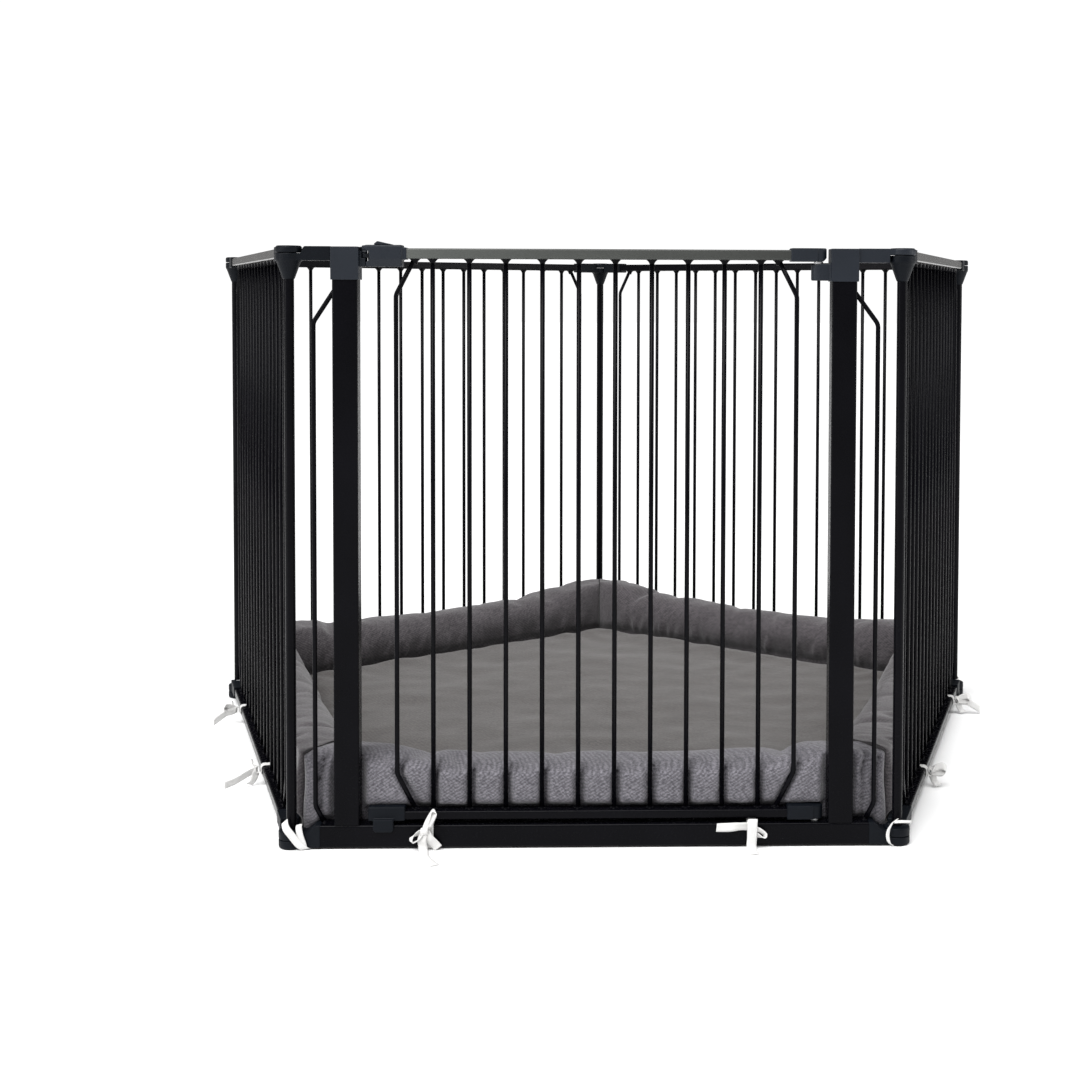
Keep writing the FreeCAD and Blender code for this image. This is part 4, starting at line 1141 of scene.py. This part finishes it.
def left_wrap():
    """Tape under the left foot and up its face, and a second strip beside it."""
    lean = (0.75, 0, 0.66)
    across = ribbon([((-363.5, -11, 33), lean), ((-361, -16.2, 27), lean), ((-355, -16.8, 19), lean),
                     ((-347, -16.4, 8.5), (0.8, 0, 0.6)), ((-341, -15.5, 3), (0.9, 0, 0.3)),
                     ((-339, -12, 1.2), (1, 0, 0.1)), ((-338, 0, 0.8), ALONG), ((-338, 12, 1.2), ALONG),
                     ((-339, 15, 6), ALONG)], 9.0)
    second = ribbon([((-347, -9, 28.5), (1, -0.2, 0.3)), ((-346.5, -14.3, 26), (1, 0, 0.3)),
                     ((-344.5, -15.6, 17), (1, 0, 0.2)), ((-341.5, -15.4, 8), (1, 0, 0.2)),
                     ((-340.5, -14.6, 2.5), (1, 0, 0.2))], 7.5)
    return [across, second]


front = bow_tie() + flat_tie() + left_wrap() + right_wrap()
tie("threshold_tapes", front, "gate_frame", "front_ties", FRONT)


def rail_knot(x, tails):
    """Tape round a side's bottom rail, knotted outside; each tail is a width and a list of stops
    from the knot on: along the side, outwards, height, direction of the tape's width."""
    y, z = -15.5, 21
    strips = [band(x, 10, 14, SIDE_RAIL_TOP)]
    for wide, stops in tails:
        route = [((x, y, z), (0.3, 0, 1))]
        route += [((x + along, y - out, height), across) for along, out, height, across in stops]
        strips.append(ribbon(route, wide))
    return strips + [knot(x, y, z, 8.5)]


FLAT, HANGING = (0.25, 0, 1), (0.3, -1, 0)


def tie_place(node, nearer_start):
    """Where along its side a node's nearer or further tie sits."""
    side = RIGHT if node.startswith("right") else LEFT
    to_side = side_matrix(side).inverted()
    places = [(to_side @ vertex.co).x / MM for vertex in frame["nodes"][node].data.vertices]
    places.sort()
    low, high = places[0] + TAPE_WIDE / 2, places[-1] - TAPE_WIDE / 2
    return low if nearer_start else high


LEANING = (0.8, 0, 0.5)
LOOP = [(2, 6, 25, FLAT), (4, 15, 28, FLAT), (5, 20, 24, LEANING), (4, 14, 19, FLAT), (1, 3, 20, FLAT)]
LEAF = [(-4, 4, 26, LEANING), (-9, 7, 31, ALONG), (-13, 5, 27, (0.8, 0, -0.5)), (-5, 2, 22, LEANING)]
FAR_OUT = [(2, 13, 17, FLAT), (5, 28, 10, FLAT), (9, 43, 6.5, FLAT)]
DROOPING = [(4, 14, 19, FLAT), (7, 26, 13, (0.3, -0.3, 1)), (9, 35, 7, FLAT)]
HANGING_DOWN = [(1, 3, 14, HANGING), (2, 6, 7, HANGING), (1, 11, 2.5, (0.5, -1, 0.4))]
KNOTS = {RIGHT: ([(9.5, LOOP), (9.0, LEAF), (10.0, HANGING_DOWN)],
                 [(9.5, LOOP), (10.0, DROOPING), (10.0, HANGING_DOWN)]),
         LEFT: ([(9.0, LEAF), (10.0, DROOPING), (9.5, LOOP)],
                [(10.0, FAR_OUT), (9.0, LEAF), (10.0, HANGING_DOWN)])}


def tube_ring(corner):
    """Tape slung round a corner tube, just above its foot."""
    stops = []
    for step in range(10):
        angle = 2 * math.pi * step / 10
        stops.append(((corner + (TUBE + 1.6) * math.cos(angle), (TUBE + 1.6) * math.sin(angle),
                       24.5 + 1.5 * math.cos(angle)), UP))
    return ribbon(stops, 4.5, closed=True)


for node, side in (("right_side_ties", RIGHT), ("left_side_ties", LEFT)):
    near, far = KNOTS[side]
    strips = rail_knot(tie_place(node, True), near) + rail_knot(tie_place(node, False), far)
    strips.append(tube_ring(START if side == LEFT else END))
    body = SIDES[side]
    tie(f"{body}_tapes", strips, body, node, side)


# ---- stage ----

FLOOR_DROP = -0.0003


def floor():
    mesh = bpy.data.meshes.new("floor")
    reach = 30
    mesh.from_pydata([(-reach, -reach, 0), (reach, -reach, 0), (reach, reach, 0), (-reach, reach, 0)], [],
                     [(0, 1, 2, 3)])
    finish = Finish("pale_floor", Roughness=0.7, Specular_IOR_Level=0.2)
    finish.colour(finish.fade(finish.noise(3, 2), (0.90, 0.90, 0.90), (0.92, 0.92, 0.92)))
    mesh.materials.append(finish.material)
    stage = add_object("floor", mesh)
    stage.location.z = FLOOR_DROP


def softbox(name, location, target, size, power):
    light = bpy.data.lights.new(name, "AREA")
    light.shape = "RECTANGLE"
    light.size, light.size_y = size
    light.energy = power
    lamp = add_object(name, light)
    lamp.location = location
    lamp.rotation_euler = (Vector(target) - Vector(location)).to_track_quat("-Z", "Y").to_euler()


def studio():
    """White behind the gate as the camera sees it, a soft grey room for what it reflects."""
    world = bpy.data.worlds.new("studio")
    bpy.context.scene.world = world
    world.use_nodes = True
    nodes, links = world.node_tree.nodes, world.node_tree.links
    seen, room = nodes["Background"], nodes.new("ShaderNodeBackground")
    seen.inputs["Color"].default_value = (1, 1, 1, 1)
    seen.inputs["Strength"].default_value = 1.05
    room.inputs["Color"].default_value = (1, 1, 1, 1)
    room.inputs["Strength"].default_value = 0.30
    path, choose = nodes.new("ShaderNodeLightPath"), nodes.new("ShaderNodeMixShader")
    links.new(path.outputs["Is Camera Ray"], choose.inputs["Fac"])
    links.new(room.outputs["Background"], choose.inputs[1])
    links.new(seen.outputs["Background"], choose.inputs[2])
    links.new(choose.outputs["Shader"], nodes["World Output"].inputs["Surface"])
    softbox("key", (-2.6, -2.4, 2.4), (0, 0, 0.4), (1.8, 1.8), 45)
    softbox("fill", (2.8, -1.6, 1.8), (0, 0, 0.3), (1.6, 1.6), 14)
    softbox("left_strip", (-2.4, -1.2, 0.9), (0, 0, 0.45), (0.5, 1.7), 13)
    softbox("right_strip", (2.4, -0.6, 0.9), (0.3, 0, 0.45), (0.5, 1.7), 16)
    sun = bpy.data.lights.new("sky", "SUN")
    sun.energy, sun.angle = 3.9, math.radians(45)
    lamp = add_object("sky", sun)
    lamp.rotation_euler = Vector((0.24, 0.45, -1.0)).to_track_quat("-Z", "Y").to_euler()


def photo_camera():
    """The camera, two thirds of a metre up, square to the door but for a small turn."""
    yaw, pitch, roll = (math.radians(angle) for angle in (-1.626, 2.249, 0.215))
    lens = bpy.data.cameras.new("camera")
    lens.lens, lens.sensor_width = 51.92, 36
    lens.shift_x, lens.shift_y = -0.1009, -0.1739
    camera = add_object("camera", lens)
    turn = (Matrix.Rotation(yaw, 4, "Z") @ Matrix.Rotation(math.radians(90) - pitch, 4, "X")
            @ Matrix.Rotation(roll, 4, "Z"))
    camera.matrix_world = Matrix.Translation((0.0090, -2.3111, 0.6539)) @ turn
    bpy.context.scene.camera = camera


floor()
studio()
photo_camera()
bpy.context.scene.view_settings.view_transform = "Standard"
